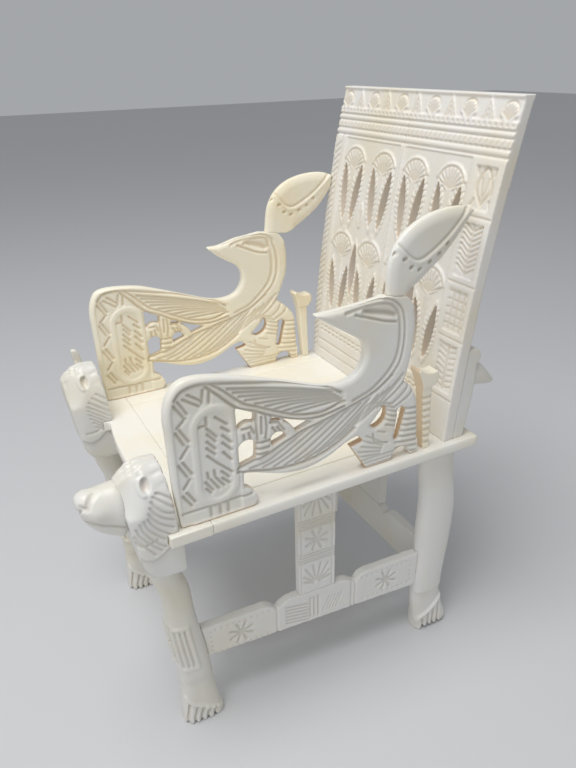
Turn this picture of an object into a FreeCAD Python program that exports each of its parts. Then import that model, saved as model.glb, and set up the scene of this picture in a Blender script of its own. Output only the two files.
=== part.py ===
import FreeCAD, Part
import math
import os

# Miniature throne chair, carved and joined from bone. Millimetres. The sitter faces -Y,
# left is the sitter's left at +X, and +Z is up. The pieces are laid out from the seat's front
# edge (y = 0) and the floor (z = 0), and at the end all move together so that the origin
# lies on the floor under the middle of the chair's box.

Vec = FreeCAD.Vector

# Joints and cuts
overrun = 1.0                    # how far a cutting tool runs past what it cuts
tenon_clearance = 0.05           # on each face of a tenon or dowel in its hole
tenon_thickness = 1.8
tenon_depth = 2.6
dowel_radius = 0.9
dowel_rise = 4.4                 # above the seat's top

# Seat
seat_height = 85.5               # top of the seat above the floor
seat_width = 93.0
seat_depth = 110.0
seat_thickness = 3.6
seat_setback = 2.2               # the front edge stands back between the lions
seat_bow = 2.2                   # and swells forward in its middle
front_strip_depth = 12.5
side_strip_width = 11.0
seat_hole_depth = 1.7            # blind holes from the seat's top and underside never meet

# Lion blocks at the front corners
lion_width = 17.8
lion_side_gap = 1.8              # from the lion's outer side to the seat's side edge
lion_head_rise = 20.5            # top of the skull above the seat
lion_depth = 11.0                # front of the face ahead of the seat's edge
neck_drop = 14.6                 # underside of the neck below the top of the seat
neck_shelf = 4.4                 # how far the neck reaches under the seat
mane_lap = 3.3                   # how far the mane reaches over the seat
ear_foot = 12.0                  # above the seat
ear_rise = 11.6
ear_depth = 3.2
ear_thickness = 2.2
ear_setback = 1.0                # rear of the ear ahead of the seat's edge
muzzle_length = 10.4
muzzle_width = 12.8
muzzle_height = 17.3
muzzle_foot = -1.1               # underside of the jaw at its root, from the top of the seat

# Legs
leg_half_width = 4.1             # the legs are cut from thick slabs: narrower across
front_leg_half_depth = 5.6
front_leg_lean = 7.0             # the foot stands this far behind the leg's top
front_leg_offset_right = 1.3     # the right leg stands this much further back
leg_tenon_radius = 2.4
leg_tenon_length = 7.0
leg_ring_points = 12
leg_power = 2.2                  # 2 is an ellipse, more is squarer
foot_power = 3.4
foot_spread_power = 4            # how fast the foot's shape gives way to the leg's
rear_leg_half_depth = 7.3
rear_leg_lean = 3.6
rear_leg_inset = 6.0             # leg axis from the seat's side edge
rear_leg_setback = 12.8          # leg axis from the seat's rear edge

# Stretchers and struts
rail_height = 14.8
rail_thickness = 3.4
rail_taper = 2.4                 # a side stretcher is this much lower at its front end
rail_clearance = 23.6            # underside of the stretchers above the floor
side_strut_width = 13.5
rear_strut_width = 22.0
cleat_height = 16.0
cleat_width = 13.5
cleat_thickness = 3.7

# Arms
arm_height = 56.2                # seat to the top of the bird's head
arm_thickness = 3.6
arm_relief = 0.45                # depth of the sunk fields on both faces
arm_front_left = 4.3             # front edge of the arm behind the seat's front edge
arm_front_right = 5.8
arm_inset_left = 2.1             # outer face of the arm inside the seat's side edge
arm_inset_right = 0.4
arm_tail_setback = 9.0           # end of the arm's box ahead of the back's foot
head_lean_right = 2.8            # the right bird's head and tail reach further back
tail_reach_right = 3.0
crown_length = 34.2
crown_width = 19.0
crown_belly_left = 3.7
crown_belly_right = 5.8
crown_angle_left = 41.0          # degrees above level
crown_angle_right = 35.5
crown_setback_left = 0.3         # foot of the crown behind the middle of its seat
crown_setback_right = 1.8
crown_tenon_width = 3.0
crown_tenon_depth = 3.0
post_width = 3.6                 # fore and aft at its foot
post_depth = 4.8                 # across the chair, at the cap
post_waist = 0.5                 # the column is this much thinner on each side
post_height = 30.0
post_setback_left = 6.0          # rear of the post's foot ahead of the back's foot
post_setback_right = 3.1

# Back
back_height = 106.8
back_inset = 2.5                 # each side of its foot inside the seat's edge
back_flare = 1.6                 # each side of its top wider than its foot
back_thickness = 4.3
back_setback = 13.0              # front of its foot from the seat's rear edge
back_lean = 15.4                 # the top lies this far behind the foot
back_sag = 2.2                   # the plates curve forward of a straight line
back_relief = 0.6                # depth of the sunk fields on the front
back_band_groove = 1.0           # height of the grooves of the cornice
back_stem_width = 2.2            # papyrus stems in the field
back_leaf_rim = 1.3              # raised rim round each opening
back_seam_rim = 1.2              # raised strip on each side of the seam
frieze_gap = 0.5                 # from the tops of its motifs to the upper edge
back_joint = 2.5                 # seam between the plates, towards the sitter's right
rear_post_width = 8.4
rear_post_height = 31.8
rear_post_depth = 6.6
rear_muzzle_length = 12.6
rear_muzzle_height = 13.0
rear_muzzle_foot = 16.1          # above the seat

# Outlines as shares, chosen by hand, of the sizes that they follow

# Arm: shares of its length and height. Two points are a line, three an arc, more a curve.
arm_outline_shares = [
    [(0.0, 0.0), (-0.013, 0.21), (-0.018, 0.52), (-0.009, 0.7), (0.034, 0.786), (0.119, 0.794),
     (0.287, 0.724), (0.47, 0.625), (0.609, 0.575), (0.68, 0.605), (0.711, 0.68), (0.69, 0.795)],
    [(0.69, 0.795), (0.52, 0.96)],
    [(0.52, 0.96), (0.517, 0.97), (0.525, 0.975)],
    [(0.525, 0.975), (0.605, 0.978), (0.7, 0.988), (0.785, 1.0)],
    [(0.785, 1.0), (0.872, 0.982)],
    [(0.872, 0.982), (0.911, 0.91), (0.923, 0.8), (0.919, 0.69), (0.907, 0.585), (0.89, 0.488)],
    [(0.89, 0.488), (0.912, 0.462), (0.938, 0.41), (0.955, 0.345), (0.963, 0.26), (0.969, 0.13),
     (0.974, 0.0)],
    [(0.974, 0.0), (0.935, 0.0)],
    [(0.935, 0.0), (0.9, 0.07), (0.85, 0.0)],
    [(0.85, 0.0), (0.735, 0.0)],
    [(0.735, 0.0), (0.663, 0.17)],
    [(0.663, 0.17), (0.72, 0.186)],
    [(0.72, 0.186), (0.692, 0.226)],
    [(0.692, 0.226), (0.645, 0.208), (0.59, 0.167), (0.53, 0.135), (0.47, 0.121),
     (0.41, 0.128), (0.35, 0.153), (0.29, 0.187), (0.235, 0.21)],
    [(0.235, 0.21), (0.235, 0.13)],
    [(0.235, 0.13), (0.267, 0.095), (0.283, 0.04)],
    [(0.283, 0.04), (0.266, 0.0)],
    [(0.266, 0.0), (0.0, 0.0)],
]
# Openings of the arm round the lotus and in the tail
arm_opening_shares = [
    [[(0.218, 0.588), (0.284, 0.537)], [(0.284, 0.537), (0.284, 0.484)],
     [(0.284, 0.484), (0.254, 0.497), (0.22, 0.46)], [(0.22, 0.46), (0.218, 0.588)]],
    [[(0.222, 0.256), (0.281, 0.277)], [(0.281, 0.277), (0.285, 0.366)],
     [(0.285, 0.366), (0.257, 0.396), (0.222, 0.37)], [(0.222, 0.37), (0.222, 0.256)]],
    [[(0.342, 0.327), (0.4, 0.352)], [(0.4, 0.352), (0.38, 0.39), (0.342, 0.374)],
     [(0.342, 0.374), (0.342, 0.327)]],
    [[(0.342, 0.491), (0.387, 0.463), (0.436, 0.435), (0.505, 0.4)], [(0.505, 0.4), (0.437, 0.367)],
     [(0.437, 0.367), (0.412, 0.425), (0.342, 0.466)], [(0.342, 0.466), (0.342, 0.491)]],
    [[(0.745, 0.27), (0.775, 0.318), (0.81, 0.378)], [(0.81, 0.378), (0.815, 0.33)],
     [(0.815, 0.33), (0.8, 0.27), (0.765, 0.25)], [(0.765, 0.25), (0.745, 0.27)]],
    [[(0.87, 0.29), (0.885, 0.33), (0.9, 0.29)], [(0.9, 0.29), (0.875, 0.13)],
     [(0.875, 0.13), (0.857, 0.135)], [(0.857, 0.135), (0.87, 0.29)]],
]
# Sunk fields of the arm: the front panel round its ring, the two wings and the eye
arm_panel_shares = [
    [(0.004, 0.011), (0.001, 0.605)],
    [(0.001, 0.605), (0.011, 0.694), (0.032, 0.74), (0.068, 0.765), (0.116, 0.758), (0.145, 0.737)],
    [(0.145, 0.737), (0.176, 0.687), (0.222, 0.626)],
    [(0.222, 0.626), (0.222, 0.011)],
    [(0.222, 0.011), (0.004, 0.011)],
]
arm_ring_shares = [
    [(0.062, 0.18), (0.062, 0.55)], [(0.062, 0.55), (0.138, 0.641), (0.214, 0.55)],
    [(0.214, 0.55), (0.214, 0.18)], [(0.214, 0.18), (0.138, 0.085), (0.062, 0.18)],
]
arm_ring_field_shares = [
    [(0.08, 0.2), (0.08, 0.53)], [(0.08, 0.53), (0.138, 0.61), (0.196, 0.53)],
    [(0.196, 0.53), (0.196, 0.2)], [(0.196, 0.2), (0.138, 0.116), (0.08, 0.2)],
]
arm_wing_shares = [
    [[(0.16, 0.735), (0.211, 0.651), (0.247, 0.603), (0.295, 0.568), (0.343, 0.53), (0.438, 0.464),
      (0.546, 0.441), (0.63, 0.47)],
     [(0.63, 0.47), (0.63, 0.527)],
     [(0.63, 0.527), (0.546, 0.573), (0.427, 0.633), (0.307, 0.68), (0.16, 0.735)]],
    [[(0.235, 0.252), (0.307, 0.278), (0.379, 0.317), (0.45, 0.356), (0.522, 0.381),
      (0.618, 0.413), (0.761, 0.48)],
     [(0.761, 0.48), (0.689, 0.294)],
     [(0.689, 0.294), (0.618, 0.231), (0.546, 0.189), (0.474, 0.171), (0.403, 0.171),
      (0.331, 0.185), (0.259, 0.214)],
     [(0.259, 0.214), (0.235, 0.252)]],
    [[(0.7, 0.948), (0.79, 0.955), (0.853, 0.888)], [(0.853, 0.888), (0.78, 0.89), (0.7, 0.948)]],
]
crown_seat_shares = [(0.785, 1.0), (0.872, 0.982)]
# Where the right arm departs from the left: start and end, up the arm or along it
back_of_head_shares = (0.8, 0.9)
top_of_head_shares = (0.86, 0.95)
neck_shares = (0.45, 0.7)
tail_shares = (0.735, 0.88)
under_tail_shares = (0.35, 0.5)
# Crown: upper edge in shares of its length and width, lower edge of its length and belly
crown_upper_shares = [(-0.066, 0.087), (0.03, 0.29), (0.15, 0.49), (0.35, 0.615), (0.57, 0.555),
                      (0.78, 0.36), (0.93, 0.125)]
crown_lower_shares = [(1.0, -0.4), (0.85, -0.65), (0.72, -0.88), (0.57, -1.0), (0.4, -0.97),
                      (0.18, -0.8), (0.045, -0.46)]
# Arm post: shares of its width and height
post_outline_shares = [
    [(0.25, 0.0), (-0.05, 0.4), (-0.28, 0.72)],
    [(-0.28, 0.72), (-0.5, 0.84), (-0.95, 0.97)],
    [(-0.95, 0.97), (-0.7, 1.0)],
    [(-0.7, 1.0), (0.35, 0.935), (1.15, 0.94)],
    [(1.15, 0.94), (1.34, 0.88), (1.15, 0.8)],
    [(1.15, 0.8), (0.78, 0.76)],
    [(0.78, 0.76), (0.86, 0.4), (1.0, 0.0)],
    [(1.0, 0.0), (0.25, 0.0)],
]
post_neck_share = 0.77           # height at which the column meets its cap
# Lion's head and neck in side view, from the mane over the seat round to the neck below:
# shares of the face's depth ahead of the seat, of the skull's rise and of the neck's drop
skull_side_shares = [(0.15, 0.975), (-0.12, 1.0), (-0.5, 0.985), (-0.8, 0.88), (-1.0, 0.785)]
face_side_shares = [(-1.0, 0.785), (-0.92, 0.34), (-0.82, 0.0)]
neck_side_shares = [(-0.82, 0.0), (-0.76, -0.34), (-0.69, -0.66), (-0.48, -0.91), (-0.22, -1.0)]
skull_taper_share = 0.26         # width of the top of the skull
skull_side_share = 0.4           # height at which its sides start to close in
face_taper_share = 0.68          # width of the face at its front
face_round_share = 0.45          # of its depth, where the face starts to narrow
brow_share = (0.82, 0.5)         # width and height of the bend in the skull's side
brow_taper_share = 0.6           # the same at the front of the face
temple_shares = (0.6, 0.88)      # where the plan's corner is most rounded
mane_bulge_shares = (0.86, 0.4)
ear_place_share = 0.41           # of the width, from the middle to the ear
# Ear: shares of its depth and rise
ear_outline_shares = [
    [(0.0, 0.0), (0.0, 0.45)], [(0.0, 0.45), (-0.1, 0.8), (-0.12, 0.93)],
    [(-0.12, 0.93), (-0.06, 1.0), (0.14, 1.0)],
    [(0.14, 1.0), (0.44, 0.98), (0.7, 0.84), (0.88, 0.64), (1.0, 0.4)],
    [(1.0, 0.4), (1.0, 0.0)], [(1.0, 0.0), (0.0, 0.0)],
]
# Muzzle rings from root to nose: shares of its length, height of the middle above the foot
# of the root, half height and half width
muzzle_ring_shares = [
    (0.0, 0.495, 0.495, 0.5), (0.29, 0.537, 0.44, 0.45), (0.58, 0.6, 0.375, 0.4),
    (0.77, 0.665, 0.3, 0.34), (0.9, 0.72, 0.21, 0.26), (0.97, 0.775, 0.12, 0.17),
    (1.0, 0.8, 0.05, 0.08),
]
# Leg rings from the floor up: share of the leg's height, share of its lean and shares of
# its half width and half depth
front_leg_ring_shares = [
    (0.0, 0.96, 1.04, 1.26), (0.06, 0.93, 1.02, 1.2), (0.134, 0.88, 0.97, 1.09),
    (0.21, 0.86, 0.95, 1.01), (0.33, 0.78, 0.98, 0.97), (0.49, 0.57, 1.01, 0.97),
    (0.6, 0.43, 0.99, 0.91), (0.7, 0.36, 0.94, 0.85), (0.85, 0.18, 0.94, 0.84),
    (1.0, 0.0, 0.99, 0.86),
]
rear_leg_ring_shares = [
    (0.0, 0.9, 1.02, 1.0), (0.05, 0.8, 1.0, 0.97), (0.13, 0.42, 0.95, 0.9),
    (0.29, 0.17, 0.96, 0.91), (0.46, 0.47, 1.0, 0.98), (0.6, 0.6, 1.03, 1.04),
    (0.7, 0.64, 1.03, 1.02), (0.82, 0.38, 0.98, 0.96), (0.94, 0.08, 0.98, 0.94),
    (1.0, 0.0, 0.98, 0.93),
]
# Stretcher: shares of its clear length and height, over one half; the other half mirrors it
rail_outline_shares = [
    [(0.0, 1.0), (0.24, 1.0)],
    [(0.24, 1.0), (0.29, 0.93), (0.312, 0.75)],
    [(0.312, 0.75), (0.345, 0.91), (0.4, 0.98)],
    [(0.4, 0.98), (0.5, 0.98)],
]
tenon_height_share = 0.5         # of the stretcher's height
strut_tenon_share = 0.5          # of the strut's width
arm_dowel_shares = (0.06, 0.2, 0.79)
post_dowel_share = 0.6
cleat_place_share = 0.3          # of its width, on the front side of the strut's middle
front_rail_lean_share = 0.62     # of a leg's lean, at the stretcher
rear_rail_lean_share = 0.3
back_sag_share = 0.42            # of the height, where the sag is deepest
back_dowel_shares = (-0.9, -0.3, 0.3, 0.9)
# Back plates: the picture's openings, one lens between two points, as shares of the bay's
# half width and of the field's height, with the lens's width
bay_window_shares = [
    (0.3, 0.08, 0.62, 0.36, 0.4), (0.26, 0.56, 0.6, 0.86, 0.42),
]
bay_edge_window_shares = (0.2, 0.48, 0.22)  # foot, top and half width, between two bays
field_foot_share = 0.16          # of the back's height
field_top_share = 0.86
field_sunk_share = 0.838         # top of the sunk ground
# Papyrus in the middle of each bay: stems from and to, then heads with foot, half width and
# height, as shares of the field's height and the bay's half width
stem_shares = ((0.0, 0.4), (0.54, 0.83))
papyrus_shares = ((0.38, 0.86, 0.142), (0.82, 0.78, 0.115))
papyrus_side_share = 0.44        # of a head's height, where its sides end
bud_shares = ((0.04, 0.165), (0.555, 0.68))
bud_width_share = 0.2            # of the bay's half width
band_shares = (0.845, 0.867, 0.893, 0.912)
frieze_shares = (0.934, 0.994)
frieze_count = 11                # alternate plants and steps
frieze_width_share = 0.4         # of the pitch
pilaster_band_shares = (0.14, 0.33, 0.495, 0.685, 0.838)
pilaster_gap_share = 0.018       # of the back's height, half of each band between the panels
border_width_share = 0.055       # of the back's width
pilaster_width_share = 0.12
# Rear post's head in side view: shares of the post's depth, its height and its muzzle
rear_head_shares = [
    [(0.0, 0.0), (0.8, 0.0)], [(0.8, 0.0), (1.0, 0.5)], [(1.0, 0.5), (1.03, 0.84)],
    [(1.03, 0.84), (1.12, 0.93), (1.0, 1.0)], [(1.0, 1.0), (0.0, 1.0)], [(0.0, 1.0), (0.0, 0.0)],
]
rear_muzzle_start_share = 0.9
rear_muzzle_ring_shares = [(0.0, 0.42, 0.385, 0.42), (0.35, 0.4, 0.35, 0.4), (0.7, 0.22, 0.23, 0.32),
                           (1.0, 0.05, 0.09, 0.16)]

# Places that several pieces share
half_seat = seat_width / 2
back_width_foot = seat_width - back_inset * 2
back_width_top = back_width_foot + back_flare * 2
seat_under = seat_height - seat_thickness
lion_axis = half_seat - lion_side_gap - lion_width / 2
rear_leg_axis = half_seat - rear_leg_inset
rear_leg_y = seat_depth - rear_leg_setback
back_foot_y = seat_depth - back_setback
front_leg_top = seat_height - neck_drop
parts = {}


def edges_of(strokes):
    """Edges of an outline: two points make a line, three an arc, more a smooth curve."""
    edges = []
    for stroke in strokes:
        if len(stroke) == 2:
            edges.append(Part.LineSegment(*stroke).toShape())
        elif len(stroke) == 3:
            edges.append(Part.Arc(*stroke).toShape())
        else:
            curve = Part.BSplineCurve()
            curve.interpolate(stroke)
            edges.append(curve.toShape())
    return edges


def closed_face(strokes):
    return Part.Face(Part.Wire(edges_of(strokes)))


def side_face(strokes, x, y, z, length, height):
    """A face in the plane x, from strokes in shares of a length along Y and a height."""
    return closed_face([[Vec(x, y + a * length, z + b * height) for a, b in stroke]
                        for stroke in strokes])


def box(x0, x1, y0, y1, z0, z1):
    return Part.makeBox(x1 - x0, y1 - y0, z1 - z0, Vec(x0, y0, z0))


def peg(centre, direction, length, radius):
    return Part.makeCylinder(radius, length, centre, direction)


def ring(x, y, z, rx, ry):
    """A level ellipse, as a wire."""
    ellipse = Part.Ellipse(Vec(0, 0, 0), max(rx, ry), min(rx, ry))
    wire = Part.Wire(ellipse.toShape())
    if ry > rx:
        wire.rotate(Vec(0, 0, 0), Vec(0, 0, 1), 90)
    wire.translate(Vec(x, y, z))
    return wire


def upright_ring(x, y, z, rx, rz):
    """An ellipse in a plane square to Y, as a wire."""
    wire = ring(0, 0, 0, rx, rz)
    wire.rotate(Vec(0, 0, 0), Vec(1, 0, 0), 90)
    wire.translate(Vec(x, y, z))
    return wire


def mirrored(shape):
    return shape.mirror(Vec(0, 0, 0), Vec(1, 0, 0))


def keep(name, shape):
    """Keeps one clean solid, or a group of them, under its node's name."""
    solids = shape.Solids
    parts[name] = solids[0] if len(solids) == 1 else Part.makeCompound(solids)


def keep_pair(name, shape):
    keep(name + "_left", shape)
    keep(name + "_right", mirrored(shape))


def seat():
    """Front strip with its bowed edge, two side strips and two planks between them."""
    inner = half_seat - side_strip_width
    bow_half = lion_axis - lion_width / 2
    front = closed_face([
        [Vec(-half_seat, 0, seat_under), Vec(-bow_half, 0, seat_under)],
        [Vec(-bow_half, 0, seat_under), Vec(-bow_half, seat_setback, seat_under)],
        [Vec(-bow_half, seat_setback, seat_under), Vec(0, seat_setback - seat_bow, seat_under),
         Vec(bow_half, seat_setback, seat_under)],
        [Vec(bow_half, seat_setback, seat_under), Vec(bow_half, 0, seat_under)],
        [Vec(bow_half, 0, seat_under), Vec(half_seat, 0, seat_under)],
        [Vec(half_seat, 0, seat_under), Vec(half_seat, front_strip_depth, seat_under)],
        [Vec(half_seat, front_strip_depth, seat_under),
         Vec(-half_seat, front_strip_depth, seat_under)],
        [Vec(-half_seat, front_strip_depth, seat_under), Vec(-half_seat, 0, seat_under)],
    ])
    keep("seat_front_strip", front.extrude(Vec(0, 0, seat_thickness)))
    keep_pair("seat_side_strip", box(inner, half_seat, front_strip_depth, seat_depth,
                                     seat_under, seat_height))
    keep_pair("seat_plank", box(0, inner, front_strip_depth, seat_depth, seat_under, seat_height))


def skull_section(y, low, high, share):
    """The head seen from the front, as a wire at one depth; share narrows its upper part."""
    half = lion_width / 2
    crest = half * skull_taper_share * share
    side_top = seat_height + lion_head_rise * skull_side_share * share
    bend_x, bend_z = brow_share
    brow_x, brow_z = half * bend_x * share, side_top + (high - side_top) * bend_z * share
    return Part.Wire(edges_of([
        [Vec(-half, y, low), Vec(half, y, low)],
        [Vec(half, y, low), Vec(half, y, side_top)],
        [Vec(half, y, side_top), Vec(brow_x, y, brow_z), Vec(crest, y, high)],
        [Vec(crest, y, high), Vec(-crest, y, high)],
        [Vec(-crest, y, high), Vec(-brow_x, y, brow_z), Vec(-half, y, side_top)],
        [Vec(-half, y, side_top), Vec(-half, y, low)],
    ]))


def lion_head(leg_offset):
    """Skull and neck in one block, slotted over the seat's front edge, at the middle of x."""
    half = lion_width / 2
    peak = seat_height + lion_head_rise

    def places(shares, rise):
        return [Vec(-half, a * lion_depth, seat_height + b * rise) for a, b in shares]

    skull = places(skull_side_shares, lion_head_rise)
    neck = places(neck_side_shares, neck_drop)
    corners = [neck[-1], Vec(-half, neck_shelf, front_leg_top), Vec(-half, neck_shelf, seat_under),
               Vec(-half, 0, seat_under), Vec(-half, 0, seat_height),
               Vec(-half, mane_lap, seat_height)]
    bulge, rise = mane_bulge_shares
    mane = Vec(-half, mane_lap * bulge, seat_height + (peak - seat_height) * rise)
    side = [[corners[-1], mane, skull[0]], skull, places(face_side_shares, lion_head_rise), neck]
    side += [[a, b] for a, b in zip(corners, corners[1:])]
    block = closed_face(side).extrude(Vec(lion_width, 0, 0))

    low = front_leg_top - overrun
    back = mane_lap + neck_shelf
    front = -lion_depth - overrun
    turn = -lion_depth * face_round_share
    narrow = half * face_taper_share
    share, depth = temple_shares
    corner = (half * share + narrow * (1 - share), -lion_depth * depth)
    plan = closed_face([
        [Vec(half, back, low), Vec(half, turn, low)],
        [Vec(half, turn, low), Vec(corner[0], corner[1], low), Vec(narrow, front, low)],
        [Vec(narrow, front, low), Vec(-narrow, front, low)],
        [Vec(-narrow, front, low), Vec(-corner[0], corner[1], low), Vec(-half, turn, low)],
        [Vec(-half, turn, low), Vec(-half, back, low)],
        [Vec(-half, back, low), Vec(half, back, low)],
    ]).extrude(Vec(0, 0, lion_head_rise + neck_drop + overrun * 2))
    view = Part.makeLoft([skull_section(front, low, peak, brow_taper_share),
                          skull_section(turn, low, peak, 1),
                          skull_section(back, low, peak, 1)], True, True)
    head = block.common(plan).common(view).removeSplitter()
    socket = peg(Vec(0, leg_offset, front_leg_top - overrun), Vec(0, 0, 1),
                 leg_tenon_length + overrun + tenon_clearance, leg_tenon_radius + tenon_clearance)
    return head.cut(socket)


def ear():
    """Upright ear on the outer side of a head whose middle is at x = 0."""
    x = lion_width * ear_place_share - ear_thickness / 2
    leaf = side_face(ear_outline_shares, x, -ear_setback - ear_depth, seat_height + ear_foot,
                     ear_depth, ear_rise)
    return leaf.extrude(Vec(ear_thickness, 0, 0))


def lion_heads():
    """The left head carries the muzzle; the right one still has its outer ear."""
    left = lion_head(0)
    left.translate(Vec(lion_axis, 0, 0))
    keep("lion_head_left", left)
    right = lion_head(front_leg_offset_right).fuse(ear()).removeSplitter()
    right.translate(Vec(lion_axis, 0, 0))
    keep("lion_head_right", mirrored(right))
    keep("lion_muzzle_left", muzzle())


def muzzle():
    """Snout as a loft of ellipses from its flat root to the nose."""
    foot = seat_height + muzzle_foot
    wires = [upright_ring(lion_axis, -lion_depth - a * muzzle_length,
                          foot + b * muzzle_height, d * muzzle_width, c * muzzle_height)
             for a, b, c, d in muzzle_ring_shares]
    return Part.makeLoft(wires, True, False)


def leg_ring(x, y, z, rx, ry, power):
    """A level oval as a wire; the higher the power, the flatter its sides."""
    points = []
    for i in range(leg_ring_points):
        turn = math.radians(360 * i / leg_ring_points)
        across, along = math.cos(turn), math.sin(turn)
        points.append(Vec(x + rx * math.copysign(abs(across) ** (2 / power), across),
                          y + ry * math.copysign(abs(along) ** (2 / power), along), z))
    curve = Part.BSplineCurve()
    curve.interpolate(points, True)
    return Part.Wire(curve.toShape())


def leg(x, y, height, lean, half_depth, rings):
    """A leg as one loft of level ovals, from the nearly square foot up to the rounder top."""
    wires = []
    for a, b, c, d in rings:
        power = leg_power + (foot_power - leg_power) * (1 - a) ** foot_spread_power
        wires.append(leg_ring(x, y + b * lean, a * height, c * leg_half_width, d * half_depth,
                              power))
    return Part.makeLoft(wires, True, False)


def rail_outline(clear, reach, taper):
    """A stretcher's outline: its clear length between two legs and its reach into them."""
    upper = [[Vec((a - 0.5) * clear, 0, b * rail_height) for a, b in stroke]
             for stroke in rail_outline_shares]
    upper += [[Vec(-p.x, 0, p.z) for p in reversed(stroke)] for stroke in reversed(upper)]
    half = clear / 2 + reach
    corners = [upper[-1][-1], Vec(half, 0, rail_height), Vec(half, 0, 0), Vec(-half, 0, taper),
               Vec(-half, 0, rail_height), upper[0][0]]
    return upper + [[a, b] for a, b in zip(corners, corners[1:])]


def placed(shape, start, end):
    """Turns a piece made along X about its middle to lie between two places."""
    angle = math.degrees(math.atan2(end.y - start.y, end.x - start.x))
    shape.rotate(Vec(0, 0, 0), Vec(0, 0, 1), angle)
    shape.translate(Vec((start.x + end.x) / 2, (start.y + end.y) / 2, 0))
    return shape


def rail(start, end, start_leg, end_leg, strut_width, taper):
    """A stretcher coped to its legs and the strut on it, with the tools for their holes."""
    clear = math.hypot(end.x - start.x, end.y - start.y)
    body = closed_face(rail_outline(clear, leg_half_width, taper))
    body = body.extrude(Vec(0, rail_thickness, 0))
    body.translate(Vec(0, -rail_thickness / 2, rail_clearance))
    body = placed(body, start, end).cut([start_leg, end_leg])
    body = max(body.Solids, key=lambda solid: solid.Volume)
    middle = rail_clearance + (rail_height + taper) / 2
    top = rail_clearance + rail_height * rail_outline_shares[-1][0][1]

    def tongue(gap):
        half = clear / 2 + tenon_depth + gap
        high = rail_height * tenon_height_share / 2 + gap
        thick = tenon_thickness / 2 + gap
        return placed(box(-half, half, -thick, thick, middle - high, middle + high), start, end)

    def strut_tenon(gap, z0, z1):
        half = strut_width * strut_tenon_share / 2 + gap
        thick = tenon_thickness / 2 + gap
        return placed(box(-half, half, -thick, thick, z0, z1), start, end)

    foot_hole = strut_tenon(tenon_clearance, top - tenon_depth - tenon_clearance, top + overrun)
    head_hole = strut_tenon(tenon_clearance, seat_under - overrun,
                            seat_under + seat_hole_depth + tenon_clearance)
    post = placed(box(-strut_width / 2, strut_width / 2, -rail_thickness / 2, rail_thickness / 2,
                      top, seat_under), start, end)
    strut = post.fuse([strut_tenon(0, top - tenon_depth, top),
                       strut_tenon(0, seat_under, seat_under + seat_hole_depth)])
    piece = body.fuse(tongue(0)).removeSplitter().cut(foot_hole)
    return piece, tongue(tenon_clearance), strut.removeSplitter(), head_hole


def back_slab():
    """Both plates as one curved slab, with a hollow front and a parallel rear."""
    top_y = back_foot_y + back_lean
    middle = seat_height + back_height * back_sag_share
    middle_y = back_foot_y + back_lean * back_sag_share - back_sag
    low = seat_height
    high = seat_height + back_height
    wide = max(back_width_top, back_width_foot) / 2 + overrun
    t = back_thickness
    return closed_face([
        [Vec(-wide, back_foot_y, low), Vec(-wide, middle_y, middle), Vec(-wide, top_y, high)],
        [Vec(-wide, top_y, high), Vec(-wide, top_y + t, high)],
        [Vec(-wide, top_y + t, high), Vec(-wide, middle_y + t, middle),
         Vec(-wide, back_foot_y + t, low)],
        [Vec(-wide, back_foot_y + t, low), Vec(-wide, back_foot_y, low)],
    ]).extrude(Vec(wide * 2, 0, 0))


def lens(x0, z0, x1, z1, half):
    """A pointed opening between two points, cut fore and aft through the back."""
    y = back_foot_y - back_sag - overrun
    run, rise = x1 - x0, z1 - z0
    size = math.hypot(run, rise)
    side_x, side_z = rise / size * half, -run / size * half
    middle_x, middle_z = (x0 + x1) / 2, (z0 + z1) / 2
    deep = back_lean + back_sag + back_thickness + overrun * 2
    return closed_face([
        [Vec(x0, y, z0), Vec(middle_x + side_x, y, middle_z + side_z), Vec(x1, y, z1)],
        [Vec(x1, y, z1), Vec(middle_x - side_x, y, middle_z - side_z), Vec(x0, y, z0)],
    ]).extrude(Vec(0, deep, 0))


def windows(x0, x1, rim=0):
    """Openings of one plate's picture, or with a rim the raised forms round them."""
    foot = seat_height + back_height * field_foot_share
    rise = back_height * (field_top_share - field_foot_share)
    half_bay = (x1 - x0) / 4
    tools = []
    for middle in (x0 + half_bay, x1 - half_bay):
        for way in (-1, 1):
            for a0, b0, a1, b1, w in bay_window_shares:
                tools.append(lens(middle + way * a0 * half_bay, foot + b0 * rise - rim,
                                  middle + way * a1 * half_bay, foot + b1 * rise + rim,
                                  w * half_bay / 2 + rim))
    b0, b1, w = bay_edge_window_shares
    between = (x0 + x1) / 2
    tools.append(lens(between, foot + b0 * rise - rim, between, foot + b1 * rise + rim,
                      w * half_bay + rim))
    return tools


def through_back(strokes):
    """A form in the front view, from strokes in x and z, cut fore and aft through the back."""
    y = back_foot_y - back_sag - overrun
    deep = back_lean + back_sag + back_thickness + overrun * 2
    face = closed_face([[Vec(a, y, b) for a, b in stroke] for stroke in strokes])
    return face.extrude(Vec(0, deep, 0))


def upright(x0, x1, z0, z1):
    """A rectangle in the front view, through the back."""
    corners = [(x0, z0), (x1, z0), (x1, z1), (x0, z1)]
    return through_back([[a, b] for a, b in zip(corners, corners[1:] + corners[:1])])


def papyrus(x, z, half, tall):
    """The fan of a papyrus head in the front view, through the back."""
    side = z + tall * papyrus_side_share
    return through_back([[(x, z), (x - half, side)], [(x - half, side), (x, z + tall), (x + half, side)],
                         [(x + half, side), (x, z)]])


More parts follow.
